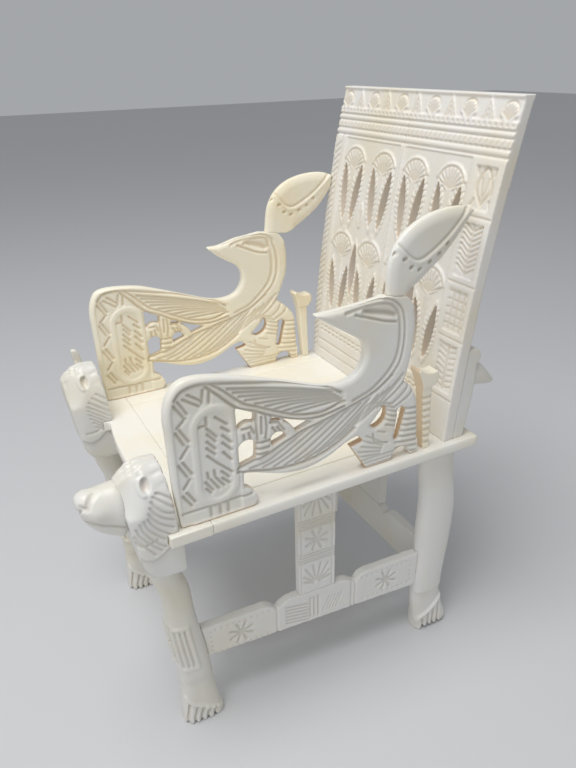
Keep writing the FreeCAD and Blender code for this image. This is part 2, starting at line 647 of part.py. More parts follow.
def plants(x0, x1):
    """What stays raised in one plate's field: papyrus, buds and a rim round each opening."""
    foot = seat_height + back_height * field_foot_share
    rise = back_height * (field_top_share - field_foot_share)
    half_bay = (x1 - x0) / 4
    raised = windows(x0, x1, back_leaf_rim)
    for middle in (x0 + half_bay, x1 - half_bay):
        raised += [upright(middle - back_stem_width / 2, middle + back_stem_width / 2,
                           foot + a * rise - overrun, foot + b * rise) for a, b in stem_shares]
        raised += [papyrus(middle, foot + a * rise, b * half_bay, c * rise)
                   for a, b, c in papyrus_shares]
    between = (x0 + x1) / 2
    raised += [lens(between, foot + a * rise, between, foot + b * rise, bud_width_share * half_bay)
               for a, b in bud_shares]
    return raised


def frieze(x0, x1):
    """Steps and plants that alternate along the top, through the back."""
    low, high = (seat_height + back_height * share for share in frieze_shares)
    high -= frieze_gap
    pitch = back_width_top / frieze_count
    raised = []
    for k in range(frieze_count):
        x = (k + 1 / 2) * pitch - back_width_top / 2
        half = pitch * frieze_width_share
        if k % 2:
            corners = [(x - half, low - overrun), (x + half, low - overrun), (x, high)]
            raised.append(through_back([[a, b] for a, b in zip(corners, corners[1:] + corners[:1])]))
        else:
            raised.append(papyrus(x, low - overrun, half, high - low))
    return raised


def back_fields(slab, x0, x1, pilaster_x):
    """Tools that sink one plate's front: its field, cornice, frieze and pilaster."""
    skin = slab.copy()
    skin.translate(Vec(0, back_relief - back_thickness, 0))
    outer = max(back_width_top, back_width_foot)

    def height(share):
        return seat_height + back_height * share

    sunk = [upright(x0 + back_seam_rim, x1 - back_seam_rim, height(field_foot_share),
                    height(field_sunk_share)).cut(plants(x0, x1))]
    sunk += [upright(-outer, outer, height(share) - back_band_groove / 2,
                     height(share) + back_band_groove / 2) for share in band_shares]
    low, high = frieze_shares
    sunk.append(upright(-outer, outer, height(low), height(high)).cut(frieze(x0, x1)))
    if pilaster_x:
        gap = pilaster_gap_share
        sunk += [upright(pilaster_x[0], pilaster_x[1], height(a + gap), height(b - gap))
                 for a, b in zip(pilaster_band_shares, pilaster_band_shares[1:])]
    return [skin.common(form) for form in sunk]


def back_plates():
    """Two curved plates that meet in an upright seam."""
    slab = back_slab()
    low, high = seat_height - overrun, seat_height + back_height + overrun
    deep = back_lean + back_sag + back_thickness + overrun * 2
    y = back_foot_y - back_sag - overrun
    border = back_width_top * border_width_share
    pilaster = back_width_top * pilaster_width_share
    for name, way in (("back_plate_left", 1), ("back_plate_right", -1)):
        foot = way * back_width_foot / 2
        top = way * back_width_top / 2
        corners = [Vec(-back_joint, y, low), Vec(foot, y, low), Vec(top, y, high),
                   Vec(-back_joint, y, high)]
        plate = slab.common(Part.Face(Part.makePolygon(corners + corners[:1])).extrude(Vec(0, deep, 0)))
        if way > 0:
            start, end = -back_joint, back_width_foot / 2 - pilaster
            panels = (end + back_seam_rim, back_width_foot / 2 - back_seam_rim)
        else:
            start, end = -back_width_foot / 2 + border, -back_joint
            panels = None
        plate = plate.cut(windows(start, end))
        keep(name, plate.cut(back_fields(slab, start, end, panels)))
    return slab


def ramp(value, shares):
    """From 0 to 1 as the value goes from the first share to the second."""
    start, end = shares
    return min(max((value - start) / (end - start), 0), 1)


def arm_face(strokes, x, front, length, lean, reach):
    """A face of the arm's side view, with the head and the tail moved back by two lengths."""
    def place(a, b):
        head = max(ramp(a, back_of_head_shares), ramp(b, top_of_head_shares))
        tail = ramp(a, tail_shares) * (1 - ramp(b, under_tail_shares))
        y = front + a * length + lean * head * ramp(b, neck_shares) + reach * tail
        return Vec(x, y, seat_height + b * arm_height)
    return closed_face([[place(a, b) for a, b in stroke] for stroke in strokes])


def arm(outer_x, way, front, length, lean, reach):
    """One arm panel as a plate whose outer face lies at outer_x; way is +1 on the left."""
    x = outer_x - arm_thickness if way > 0 else outer_x
    plate = arm_face(arm_outline_shares, x, front, length, lean, reach)
    tools = [arm_face(strokes, x - overrun, front, length, lean, reach)
             .extrude(Vec(arm_thickness + overrun * 2, 0, 0)) for strokes in arm_opening_shares]

    def sunk(strokes, start):
        face = arm_face(strokes, start, front, length, lean, reach)
        return face.extrude(Vec(arm_relief + overrun, 0, 0))

    for start in (x - overrun, x + arm_thickness - arm_relief):
        tools.append(sunk(arm_panel_shares, start).cut(sunk(arm_ring_shares, start)))
        tools += [sunk(strokes, start) for strokes in [arm_ring_field_shares] + arm_wing_shares]
    return plate.extrude(Vec(arm_thickness, 0, 0)).cut(tools)


def crown(x, front, length, angle, belly, setback, lean, slab):
    """Crown plate, turned to its lean on the sloping top of the head, with its tenon."""
    (a0, b0), (a1, b1) = crown_seat_shares
    fall = arm_height * (b1 - b0) / (length * (a1 - a0))
    y = front + length * (a0 + a1) / 2 + setback
    z = seat_height + arm_height * (b0 + b1) / 2
    slope = math.degrees(math.atan(fall))

    def made(gap):
        half = crown_tenon_width / 2 + gap
        thick = tenon_thickness / 2 + gap
        tongue = box(-thick, thick, -half, half, -crown_tenon_depth - gap, crown_tenon_depth)
        tongue.rotate(Vec(0, 0, 0), Vec(1, 0, 0), slope)
        return tongue

    inner = -arm_thickness / 2
    lower = [Vec(inner, a * crown_length, b * belly) for a, b in crown_lower_shares]
    upper = [Vec(inner, a * crown_length, b * crown_width) for a, b in crown_upper_shares]
    blade = closed_face([upper + lower[:1], lower, [lower[-1], upper[0]]])
    blade = blade.extrude(Vec(arm_thickness, 0, 0))
    blade.rotate(Vec(0, 0, 0), Vec(1, 0, 0), angle)
    under = box(-arm_thickness, arm_thickness, -crown_length, crown_length, -crown_length, 0)
    under.rotate(Vec(0, 0, 0), Vec(1, 0, 0), slope)
    blade = max(blade.cut(under).Solids, key=lambda solid: solid.Volume)
    blade = blade.fuse(made(0)).removeSplitter()
    hole = made(tenon_clearance)
    for shape in (blade, hole):
        shape.translate(Vec(x, y + lean, z + fall * setback))
    blade = max(blade.cut(slab).Solids, key=lambda solid: solid.Volume)
    return blade, hole


def arm_post(outer_x, way, front):
    """Capped post between the arm's tail and the back: its column is thinner than its cap."""
    x = outer_x - post_depth if way > 0 else outer_x
    post = side_face(post_outline_shares, x, front, seat_height, post_width, post_height)
    post = post.extrude(Vec(post_depth, 0, 0))
    neck = seat_height + post_height * post_neck_share
    sides = [box(side, side + post_waist + overrun, front - post_height, front + post_height,
                 seat_height - overrun, neck)
             for side in (x - overrun, x + post_depth - post_waist)]
    return post.cut(sides)


def rear_post(slab):
    """Post behind the back with a small lion's head that looks backwards."""
    x = back_width_foot / 2 - rear_post_width / 2
    front = back_foot_y - back_sag
    depth = back_sag + back_thickness + rear_post_depth
    body = side_face(rear_head_shares, x - rear_post_width / 2, front, seat_height, depth,
                     rear_post_height)
    body = body.extrude(Vec(rear_post_width, 0, 0))
    foot = seat_height + rear_muzzle_foot
    start = front + depth * rear_muzzle_start_share
    wires = [upright_ring(x, start + a * rear_muzzle_length, foot + b * rear_muzzle_height,
                          d * rear_post_width, c * rear_muzzle_height)
             for a, b, c, d in rear_muzzle_ring_shares]
    body = body.fuse(Part.makeLoft(wires, True, False)).cut(slab)
    return max(body.Solids, key=lambda solid: solid.BoundBox.YMax)


def seat_dowels(places):
    """Dowels that stand half in the seat at the given places, and the tools for their holes."""
    low, tall = seat_height - seat_hole_depth, seat_hole_depth + dowel_rise
    pins = [peg(Vec(x, y, low), Vec(0, 0, 1), tall, dowel_radius) for x, y in places]
    holes = [peg(Vec(x, y, low - tenon_clearance), Vec(0, 0, 1), tall + tenon_clearance * 2,
                 dowel_radius + tenon_clearance) for x, y in places]
    return Part.makeCompound(pins), holes


def cut_from(names, tools):
    for name in names:
        parts[name] = parts[name].cut(tools)


def legs_and_rails():
    """Front and rear legs, the stretchers between them, struts and cleats."""
    up = Vec(0, 0, 1)
    rear_leg = leg(rear_leg_axis, rear_leg_y, seat_under, rear_leg_lean, rear_leg_half_depth,
                   rear_leg_ring_shares)
    rear_place = Vec(rear_leg_axis, rear_leg_y, seat_under - overrun)
    rear_leg = rear_leg.fuse(peg(rear_place, up, seat_hole_depth + overrun, leg_tenon_radius))
    rear_leg_hole = peg(rear_place, up, seat_hole_depth + overrun + tenon_clearance,
                        leg_tenon_radius + tenon_clearance)

    # The stretchers run between the faces of the legs at the height of the stretchers
    rear_y = rear_leg_y + rear_leg_lean * rear_rail_lean_share
    inner = rear_leg_axis - leg_half_width
    rear_rail, rear_tongue, rear_strut, rear_hole = rail(
        Vec(-inner, rear_y, 0), Vec(inner, rear_y, 0), mirrored(rear_leg), rear_leg,
        rear_strut_width, 0)
    keep("rear_stretcher", rear_rail)
    keep("rear_strut", rear_strut)
    tools = [rear_leg_hole, mirrored(rear_leg_hole), rear_hole]

    for side, offset in (("left", 0), ("right", front_leg_offset_right)):
        turned = mirrored if side == "right" else Part.Shape.copy
        front_leg = leg(lion_axis, offset, front_leg_top, front_leg_lean, front_leg_half_depth,
                        front_leg_ring_shares)
        front_leg = front_leg.fuse(peg(Vec(lion_axis, offset, front_leg_top - overrun), up,
                                       leg_tenon_length + overrun, leg_tenon_radius))
        front_y = offset + front_leg_lean * front_rail_lean_share
        start = Vec(lion_axis, front_y + front_leg_half_depth, 0)
        end = Vec(rear_leg_axis, rear_y - rear_leg_half_depth, 0)
        side_rail, tongue, strut, hole = rail(start, end, front_leg, rear_leg, side_strut_width,
                                              rail_taper)
        # The cleat is glued to the strut's inner face, under the seat
        cleat = box(-cleat_width * cleat_place_share, cleat_width * (1 - cleat_place_share),
                    rail_thickness / 2, rail_thickness / 2 + cleat_thickness,
                    seat_under - cleat_height, seat_under)
        keep("strut_cleat_" + side, turned(placed(cleat, start, end)))
        keep("front_leg_" + side, turned(front_leg.cut(tongue)))
        keep("rear_leg_" + side, turned(rear_leg.cut([tongue, rear_tongue])))
        keep("side_stretcher_" + side, turned(side_rail))
        keep("side_strut_" + side, turned(strut))
        tools.append(turned(hole))
    cut_from(("seat_side_strip_left", "seat_side_strip_right", "seat_plank_left",
              "seat_plank_right"), tools)


def arms(slab):
    """Arm panels with their crowns, posts and dowels."""
    left = (half_seat - arm_inset_left, 1, arm_front_left, 0, 0, crown_angle_left,
            crown_belly_left, crown_setback_left, post_setback_left)
    right = (arm_inset_right - half_seat, -1, arm_front_right, head_lean_right, tail_reach_right,
             crown_angle_right, crown_belly_right, crown_setback_right, post_setback_right)
    for name, values in (("left", left), ("right", right)):
        outer, way, front, lean, reach, angle, belly, setback, post_gap = values
        length = back_foot_y - arm_tail_setback - front
        middle = outer - way * arm_thickness / 2
        blade, hole = crown(middle, front, length, angle, belly, setback, lean, slab)
        post_front = back_foot_y - post_gap - post_width
        places = [(middle, front + share * length) for share in arm_dowel_shares]
        places.append((outer - way * post_depth / 2, post_front + post_width * post_dowel_share))
        pins, holes = seat_dowels(places)
        panel = arm(outer, way, front, length, lean, reach)
        keep("arm_panel_" + name, panel.cut(holes + [hole]))
        keep("arm_crown_" + name, blade)
        keep("arm_post_" + name, arm_post(outer, way, post_front).cut(slab).cut(holes))
        keep("arm_dowels_" + name, pins)
        cut_from(("seat_front_strip", "seat_side_strip_" + name), holes)


def back(slab):
    """Dowels under the back plates, and the posts behind them."""
    y = back_foot_y + back_thickness / 2
    pins, holes = seat_dowels([(share * back_width_foot / 2, y) for share in back_dowel_shares])
    keep("back_dowels", pins)
    cut_from(("back_plate_left", "back_plate_right", "seat_plank_left", "seat_plank_right",
              "seat_side_strip_left", "seat_side_strip_right"), holes)
    keep_pair("rear_post", rear_post(slab))


seat()
lion_heads()
legs_and_rails()
slab = back_plates()
arms(slab)
back(slab)

# The origin: on the floor, under the middle of the box of all the pieces
whole = Part.makeCompound(list(parts.values())).optimalBoundingBox(False)
shift = Vec(-(whole.XMin + whole.XMax) / 2, -(whole.YMin + whole.YMax) / 2, -whole.ZMin)
os.makedirs("parts", exist_ok=True)
for name, shape in parts.items():
    shape.translate(shift)
    print(name, len(shape.Solids), round(shape.Volume, 1), shape.isValid())
    shape.exportStep("parts/" + name + ".step")
print("moved by", shift, "to a box of", whole.XLength, whole.YLength, whole.ZLength)
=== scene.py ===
import math

import bpy
import numpy as np
from mathutils import Euler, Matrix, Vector
from mathutils.kdtree import KDTree


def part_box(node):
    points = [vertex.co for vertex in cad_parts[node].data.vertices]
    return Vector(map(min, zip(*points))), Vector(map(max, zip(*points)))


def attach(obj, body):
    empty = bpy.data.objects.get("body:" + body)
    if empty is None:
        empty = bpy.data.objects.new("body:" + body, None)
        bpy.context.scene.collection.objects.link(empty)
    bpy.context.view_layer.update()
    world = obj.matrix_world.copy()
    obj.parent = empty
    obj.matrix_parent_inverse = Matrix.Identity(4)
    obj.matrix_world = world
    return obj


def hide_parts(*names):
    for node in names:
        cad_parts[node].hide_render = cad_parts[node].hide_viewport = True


# Carved bone throne chair. Every piece starts from its CAD solid and is remade as even small
# faces, and most are then carved. Sizes are in millimetres in the seat's own frame: x is the
# sitter's left, y runs back from the seat's front edge and z up from the top of the seat.

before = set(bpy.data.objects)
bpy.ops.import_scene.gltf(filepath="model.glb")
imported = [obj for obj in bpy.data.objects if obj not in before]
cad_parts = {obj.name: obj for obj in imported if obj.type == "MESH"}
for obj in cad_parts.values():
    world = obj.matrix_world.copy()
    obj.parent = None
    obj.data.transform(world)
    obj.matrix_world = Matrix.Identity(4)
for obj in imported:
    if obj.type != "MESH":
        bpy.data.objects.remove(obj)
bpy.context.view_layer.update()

mm = 0.001
strip_start = 12.5               # the side strips begin this far behind the seat's front edge
strip_low, strip_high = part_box("seat_side_strip_left")
seat_origin = np.array([0, strip_low.y / mm - strip_start, strip_high.z / mm])

# The camera stands where the photograph was taken from; its places are in seat millimetres
camera_place = Vector((187.55, -36.60, 117.37))
camera_target = Vector((-2.1, 62.51, 10.73))
camera_roll = math.radians(-1.185)
sensor_width = 36.0
focal_pixels = 657.7
frame_height_pixels = 768.0

# Cells of the remade meshes
fine_cell = 0.3
plate_cell = 0.34
plain_cell = 0.6
post_cell = 0.28
muzzle_cell = 0.26
front_leg_cell, rear_leg_cell = fine_cell + 0.04, fine_cell + 0.06
rear_head_cell = 0.36
cleat_cell = 0.5
seat_front_cell = plain_cell - 0.1

X, Y, Z = np.eye(3)


def ramp(value, start, end):
    """0 up to start and 1 from end on, with a smooth rise between them."""
    share = np.clip((value - start) / (end - start), 0, 1)
    return share * share * (3 - 2 * share)


def bump(*parts):
    """A rounded bump, 1 at its middle; each part is a value, its middle and its spread."""
    return np.exp(-sum((value - middle) ** 2 / spread for value, middle, spread in parts))


def curve(points, steps=6):
    """A smooth line through the points."""
    p = np.asarray(points, float)
    p = np.vstack([2 * p[0] - p[1], p, 2 * p[-1] - p[-2]])
    t = np.linspace(0, 1, steps, endpoint=False)[:, None]
    line = [0.5 * (2 * b + (c - a) * t + (2 * a - 5 * b + 4 * c - d) * t ** 2
                   + (3 * b - a - 3 * c + d) * t ** 3)
            for a, b, c, d in zip(p, p[1:], p[2:], p[3:])]
    return np.vstack(line + [p[-2:-1]])


def spread_on(line, spots):
    """Points on a line, at the distances along it that spots gives for its whole length."""
    line = np.asarray(line, float)
    size = np.r_[0, np.cumsum(np.hypot(*np.diff(line, axis=0).T))]
    return np.stack([np.interp(spots(size[-1]), size, line[:, k]) for k in (0, 1)], 1)


def oval(u, v, half_u, half_v, power=2.0, count=48):
    """A closed oval; a power above 2 makes it squarer."""
    turn = np.linspace(0, 2 * math.pi, count + 1)
    across, up = np.cos(turn), np.sin(turn)
    return np.stack([u + half_u * np.sign(across) * np.abs(across) ** (2 / power),
                     v + half_v * np.sign(up) * np.abs(up) ** (2 / power)], 1)


class Carving:
    """Depth of carving over one view of a piece, at scattered points, in millimetres."""

    def __init__(self, u, v):
        self.u, self.v = u, v
        self.ground = np.zeros(len(u))
        self.lines = np.zeros(len(u))
        self.raised = np.zeros(len(u))

    def near(self, line, reach):
        """The points within reach of a line, and how far from it they are."""
        line = np.asarray(line, float)
        low, high = line.min(0) - reach, line.max(0) + reach
        near = np.flatnonzero((self.u > low[0]) & (self.u < high[0])
                              & (self.v > low[1]) & (self.v < high[1]))
        p = np.stack([self.u[near], self.v[near]], 1)
        away = np.full(len(near), np.inf)
        for a, b in zip(line[:-1], line[1:]):
            along = b - a
            t = np.clip(((p - a) @ along) / max(along @ along, 1e-9), 0, 1)
            away = np.minimum(away, np.hypot(*(p - a - t[:, None] * along).T))
        return near, away

    def groove(self, line, width=0.9, depth=0.5):
        near, away = self.near(line, width)
        share = np.clip(1 - (away / (0.8 * width)) ** 2, 0, 1) ** 1.5
        self.lines[near] = np.maximum(self.lines[near], depth * share)

    def level(self, v, reach, width, depth):
        self.groove([(u, v) for u in reach], width, depth)

    def upright(self, u, reach, width, depth):
        self.groove([(u, v) for v in reach], width, depth)

    def bead(self, line, width=1.2, height=0.25):
        near, away = self.near(line, width)
        share = np.clip(1 - (away / (0.75 * width)) ** 2, 0, 1)
        self.raised[near] = np.maximum(self.raised[near], height * share)

    def inside(self, outline, edge):
        """The points in an outline's box, and how far into it they are, 0 to 1."""
        outline = np.asarray(outline, float)
        closed = np.vstack([outline, outline[:1]])
        near, away = self.near(closed, 0)
        u, v = self.u[near], self.v[near]
        odd = np.zeros(len(near), bool)
        for (u0, v0), (u1, v1) in zip(closed[:-1], closed[1:]):
            if v0 != v1:
                crosses = (v0 > v) != (v1 > v)
                odd ^= crosses & (u < (u1 - u0) * (v - v0) / (v1 - v0) + u0)
        return near, ramp(np.where(odd, away, -away), 0, edge)

    def sink(self, outline, depth=0.5, edge=0.5):
        near, share = self.inside(outline, edge)
        self.ground[near] = np.maximum(self.ground[near], depth * share)

    def ribs(self, start_line, end_line, count, width=0.7, depth=0.4):
        """Grooves from one line to another, evenly spread along both."""
        starts, ends = (spread_on(line, lambda whole: np.linspace(0, 1, count) * whole)
                        for line in (start_line, end_line))
        for rib in zip(starts, ends):
            self.groove(rib, width, depth)

    def depth(self):
        return self.ground + self.lines - self.raised


def rows_of(items, kind, width, values=float):
    """One row of values for each vertex or edge."""
    flat = np.empty(len(items) * width, values)
    items.foreach_get(kind, flat)
    return flat.reshape(-1, width)


def add(name, data):
    obj = bpy.data.objects.new(name, data)
    bpy.context.scene.collection.objects.link(obj)
    return obj


class Piece:
    """A node's solid as even small faces, in seat millimetres, ready to be carved."""

    def __init__(self, node, cell, rounds=2):
        self.node = node
        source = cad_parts[node].data.copy()
        place = rows_of(source.vertices, "co", 3) / mm - seat_origin
        source.vertices.foreach_set("co", place.ravel())
        work = add("work", source)
        even = work.modifiers.new("even", "REMESH")
        even.mode = "VOXEL"
        even.voxel_size = cell
        graph = bpy.context.evaluated_depsgraph_get()
        self.mesh = bpy.data.meshes.new_from_object(work.evaluated_get(graph))
        bpy.data.objects.remove(work)
        bpy.data.meshes.remove(source)
        self.place = rows_of(self.mesh.vertices, "co", 3)
        self.edges = rows_of(self.mesh.edges, "vertices", 2, int)
        # How far each point is painted with the crevice colour: painted shade with a patina in the
        # grooves
        self.cut = np.zeros(len(self.place))
        # How brown each point is painted: old glue stains, painted shade on opening walls, in ear
        # hollows and on the left post's front, and the arms' foot
        self.stain_and_shade = np.zeros(len(self.place))
        self.smooth(rounds)
        self.measure()

    def smooth(self, rounds, share=0.5):
        """Rounds the edges, as a worn carving has them."""
        a, b = self.edges.T
        count = len(self.place)
        links = np.maximum(np.bincount(a, minlength=count) + np.bincount(b, minlength=count), 1)
        for _ in range(rounds):
            mean = np.stack([(np.bincount(a, self.place[b, k], count)
                              + np.bincount(b, self.place[a, k], count)) / links
                             for k in range(3)], 1)
            self.place += np.reshape(share, (-1, 1)) * (mean - self.place)

    def measure(self):
        """Reads the normals of the shape as it stands."""
        self.mesh.vertices.foreach_set("co", self.place.ravel())
        self.mesh.update()
        self.normal = rows_of(self.mesh.vertices, "normal", 3)

    def carve(self, facing, view, draw, low=0.25, high=0.7):
        """Carves the side that faces one way, as draw cuts it in the view's two coordinates."""
        turned = self.normal @ facing
        side = np.flatnonzero(turned > low)
        carving = Carving(*view(self.place[side]))
        draw(carving)
        fade = ramp(turned[side], low, high)
        self.place[side] -= facing * (carving.depth() * fade)[:, None]
        # The grooves' depth also paints shade with a patina into them
        self.cut[side] = np.maximum(self.cut[side], carving.lines * fade)

    def press(self, depth, tint=1.0):
        """Moves each point in along its normal by its own depth."""
        self.place -= self.normal * depth[:, None]
        # Part of the depth, as much as tint says, paints shade with a patina into the hollow
        self.cut = np.maximum(self.cut, depth * tint)

    def pillow(self, facing, reach, depth, solid):
        """Rolls a plate's face over towards its edges; holes where solid holds don't count."""
        wall_turn, wall_band = 0.5, 0.6
        level = self.place @ facing
        middle, half = (level.max() + level.min()) / 2, (level.max() - level.min()) / 2
        walls = np.flatnonzero((np.abs(self.normal @ facing) < wall_turn)
                               & (np.abs(level - middle) < wall_band) & ~solid(self.place))
        flat = self.place - np.outer(level, facing)
        tree = KDTree(len(walls))
        for k in walls:
            tree.insert(flat[k], int(k))
        tree.balance()
        for k in np.flatnonzero(level > middle):
            away = tree.find(flat[k])[2]
            if away < reach:
                share = (level[k] - middle) / half
                self.place[k] -= facing * depth * share * (1 - away / reach) ** 2

    def glue_and_shade_spot(self, centre, reach, amount):
        """Browns a spot; used for old glue stains and for painted shade in the ear hollows."""
        away = np.linalg.norm((self.place - np.array(centre)) / np.array(reach), axis=1)
        self.stain_and_shade = np.maximum(self.stain_and_shade, amount * (1 - ramp(away, 0.3, 1.0)))

    def shade_opening_walls(self, facing, amount, where):
        """Paints brown shade on the walls of a plate's openings where it says."""
        walls = 1 - ramp(np.abs(self.normal @ facing), 0.3, 0.75)
        self.stain_and_shade = np.maximum(self.stain_and_shade, amount * walls * where)

    def finish(self, name, material):
        """Puts the carved mesh in the scene in place of its node."""
        self.measure()
        row = (self.place + seat_origin) * mm
        self.mesh.vertices.foreach_set("co", row.ravel())
        # Vertex values for the material: painted shade with a patina in the grooves, and brown for
        # old glue stains and for painted shade
        for kind, values in (("cut", self.cut), ("stain_and_shade", self.stain_and_shade)):
            layer = self.mesh.attributes.new(kind, "FLOAT", "POINT")
            layer.data.foreach_set("value", values)
        self.mesh.polygons.foreach_set("use_smooth", np.ones(len(self.mesh.polygons), bool))
        self.mesh.materials.clear()
        self.mesh.materials.append(material)
        self.mesh.update()
        obj = add(name, self.mesh)
        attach(obj, "root")
        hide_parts(self.node)


def side_view(place):
    return place[:, 1], place[:, 2]


def front_view(place):
    return place[:, 0], place[:, 2]


# Arm panels. Their carving is laid out on the left arm's side view, in y and z.
arm_front_left, arm_front_right = 4.3, 5.8
arm_end = 88.0                   # the arm's box ends here
arm_height = 56.2
head_lean_right, tail_reach_right = 2.8, 3.0
back_of_head_shares, top_of_head_shares = (0.8, 0.9), (0.86, 0.95)
neck_shares, tail_shares, under_tail_shares = (0.45, 0.7), (0.735, 0.88), (0.35, 0.5)

rim_line = [(6, 40), (8, 42), (12, 42.8), (16, 42.3), (22, 41), (30, 39), (38, 37), (44, 35.2),
            (50, 33), (56, 29.6)]
plinth_line = [(5, 4.6), (26, 4.6)]
zigzag_lines = [
    [(5.6, 38.4), (7.9, 34.6)], [(6.9, 39.2), (9.0, 35.2)], [(8.4, 34.0), (6.0, 31.8)],
    [(5.4, 30.4), (7.4, 26.2)], [(6.6, 31.0), (8.7, 27.0)], [(8.4, 25.4), (6.2, 22.6)],
    [(5.3, 20.4), (7.4, 16.2)], [(6.6, 21.0), (8.8, 16.8)], [(8.0, 15.2), (6.2, 12.8)],
    [(5.6, 10.4), (7.9, 6.6)], [(6.9, 11.2), (9.0, 7.6)],
    [(8.2, 39.6), (12.4, 36.6)], [(9.6, 40.6), (13.0, 38.0)],
    [(13.8, 41.0), (13.2, 37.2)], [(15.6, 40.8), (15.2, 37.0)],
]
sign_lines = [
    [(14.0, 32.8), (14.0, 30.4), (11.9, 30.4)],
    [(14.0, 29.4), (16.6, 26.2)], [(14.0, 27.6), (16.2, 24.8)], [(13.8, 25.4), (16.0, 22.6)],
    [(13.6, 23.4), (15.8, 20.8)], [(13.6, 21.0), (16.2, 18.0), (20.4, 13.8)],
    [(16.6, 32.2), (19.8, 29.2)], [(18.2, 28.6), (20.2, 26.8)], [(18.4, 26.0), (20.6, 23.4)],
    [(18.2, 23.8), (20.6, 21.0)], [(18.2, 20.8), (20.4, 17.8)], [(17.4, 14.8), (19.4, 12.4)],
    [(12.4, 12.8), (14.4, 9.6)], [(14.0, 13.2), (16.2, 9.6)], [(15.6, 13.2), (17.8, 10.0)],
    [(17.4, 12.6), (19.4, 10.4)], [(12.6, 10.6), (13.8, 8.8)], [(13.2, 15.6), (13.4, 13.8)],
    [(15.2, 15.8), (15.4, 14.0)],
]
foot_line_places, foot_line_heights = (13.3, 16.1, 18.6), (1.2, 4.2)
# The wings' borders, their feathers from the border rearwards, and the lines of the body
upper_border_lines = [
    [(14.6, 41.6), (18, 38.2), (21, 35), (24, 32.6), (28, 31), (32, 28.8), (36, 26.8), (40, 25),
     (44, 24), (50, 23.6), (57, 24.8)],
    [(16.2, 42), (19, 39.6), (22, 36.6), (25, 33.9), (29, 31.9), (33, 29.8), (37, 27.8),
     (41, 26.1), (45, 25.2), (50, 24.8), (57, 26.4)],
]
upper_feather_lines = [
    [(20.6, 39.6), (30, 37.4), (40, 34.6), (52, 31.0)],
    [(22.2, 38.0), (30, 36.4), (40, 33.7), (53, 30.3)],
    [(23.8, 36.4), (32, 34.9), (42, 32.6), (53, 29.7)],
    [(25.6, 34.8), (34, 33.6), (44, 31.6), (54, 29.2)],
    [(28.4, 33.0), (36, 32.2), (46, 30.6), (54, 28.8)],
    [(31.4, 31.4), (38, 31.0), (46, 29.8), (55, 28.3)],
    [(34.2, 29.8), (40, 29.8), (48, 28.9), (55, 27.9)],
    [(37.0, 28.4), (42, 28.4), (50, 28.0), (56, 27.5)],
    [(40.0, 27.1), (45, 27.0), (56, 27.0)],
]
lower_border_lines = [
    [(22, 14.0), (30, 15.6), (36, 17.8), (42, 20.0), (48, 21.4), (56, 23.2), (62, 24.8),
     (68, 27.0), (74, 31.0)],
    [(22, 13.0), (26, 12.0), (32, 10.4), (38, 9.6), (44, 9.6), (50, 10.6), (56, 13.0), (61, 16.0)],
]
lower_feather_lines = [
    [(26, 12.9), (32, 13.8), (40, 17.8), (45, 20.3)],
    [(30, 11.9), (36, 13.7), (44, 18.0), (50, 21.4)],
    [(33.5, 11.0), (40, 13.7), (48, 18.3), (55, 22.5)],
    [(37, 10.4), (43, 12.8), (52, 18.4), (59, 23.4)],
    [(40.5, 10.2), (47, 12.8), (56, 18.9), (63, 24.0)],
    [(44, 10.2), (50, 12.8), (59, 19.0), (66, 24.6)],
    [(48, 11.0), (53, 13.4), (61, 19.0), (69, 25.4)],
    [(52, 12.2), (57, 15.0), (63, 19.4), (71, 26.0)],
    [(56, 13.8), (60, 16.6), (66, 20.9), (73, 27.0)],
    [(60, 16.4), (66, 19.8), (74, 26.0), (77, 29.0)],
]
body_lines = [
    [(66, 22.6), (72, 25.4), (78, 30.4)], [(69, 21.0), (75, 24.6), (79.5, 28.6)],
    [(72, 19.8), (77, 22.6), (80.6, 26.0)], [(75.6, 19.6), (80, 21.8), (82.6, 24.0)],
]
head_rim_line = [(47, 55.2), (55, 55.2), (62, 55.6), (68, 55.8), (72.5, 54.8), (75.8, 52),
                 (77.2, 48), (77.6, 43), (77.2, 38), (76, 34), (73, 30.5)]
brow_line = [(57, 53.6), (62, 54.2), (68, 54.5), (72, 53.6), (74.6, 51), (75.6, 47), (75.8, 42),
             (75, 37), (73, 33.5), (70, 30.5), (66, 27.8), (60, 25.8)]
eye_line = [(63, 53.2), (67.5, 52.2), (71, 51.3), (73.6, 50.2)]
lower_lid_line = [(60, 52.6), (65, 50.8), (70, 49), (74.2, 48)]
beak_drop = 1.6                  # the right arm's beak points lower at its tip
beak_end, beak_low, beak_high = 64, 42, 47
# Where an arm holds its dowels and its crown's tenon
dowels_start, dowels_top = 7, 5.5
tenon_start, tenon_low = 68, 50
# The openings whose walls get brown painted shade, and how brown it is there and along the foot
tail_hole_start, tail_hole_end, tail_hole_top = 56, 81, 22.5
lotus_start, lotus_end, lotus_low, lotus_top = 21, 45, 4, 30
opening_shade, lotus_share, foot_brown = 0.75, 0.5, 0.6
arm_roll = (1.7, 0.7)            # reach and depth of the rolled edges
petal_lines = [
    [(28.4, 30.0), (28.3, 25), (28.6, 21.6)], [(31.2, 29.2), (31.5, 25), (31.0, 21.6)],
    [(29.9, 28.6), (29.8, 23.4)], [(24.0, 26.2), (26.6, 26.4), (27.6, 24.2)],
    [(24.4, 24.4), (24.6, 22.6)], [(26.0, 24.8), (26.4, 22.6)],
    [(32.6, 26.0), (35.2, 25.4), (37, 22.6)], [(33.2, 24.4), (34.6, 22.4)],
    [(34.8, 24.2), (36.4, 21.6)], [(27.8, 20.6), (32.2, 20.6)], [(28.0, 18.6), (32.0, 18.6)],
    [(28.2, 16.8), (31.6, 16.8)],
]
fan_motif_line = [(67.8, 12.0), (68.4, 8.6), (73.4, 7.4)]
fan_tip_line = [(72.4, 11.4), (69.6, 12.4)]


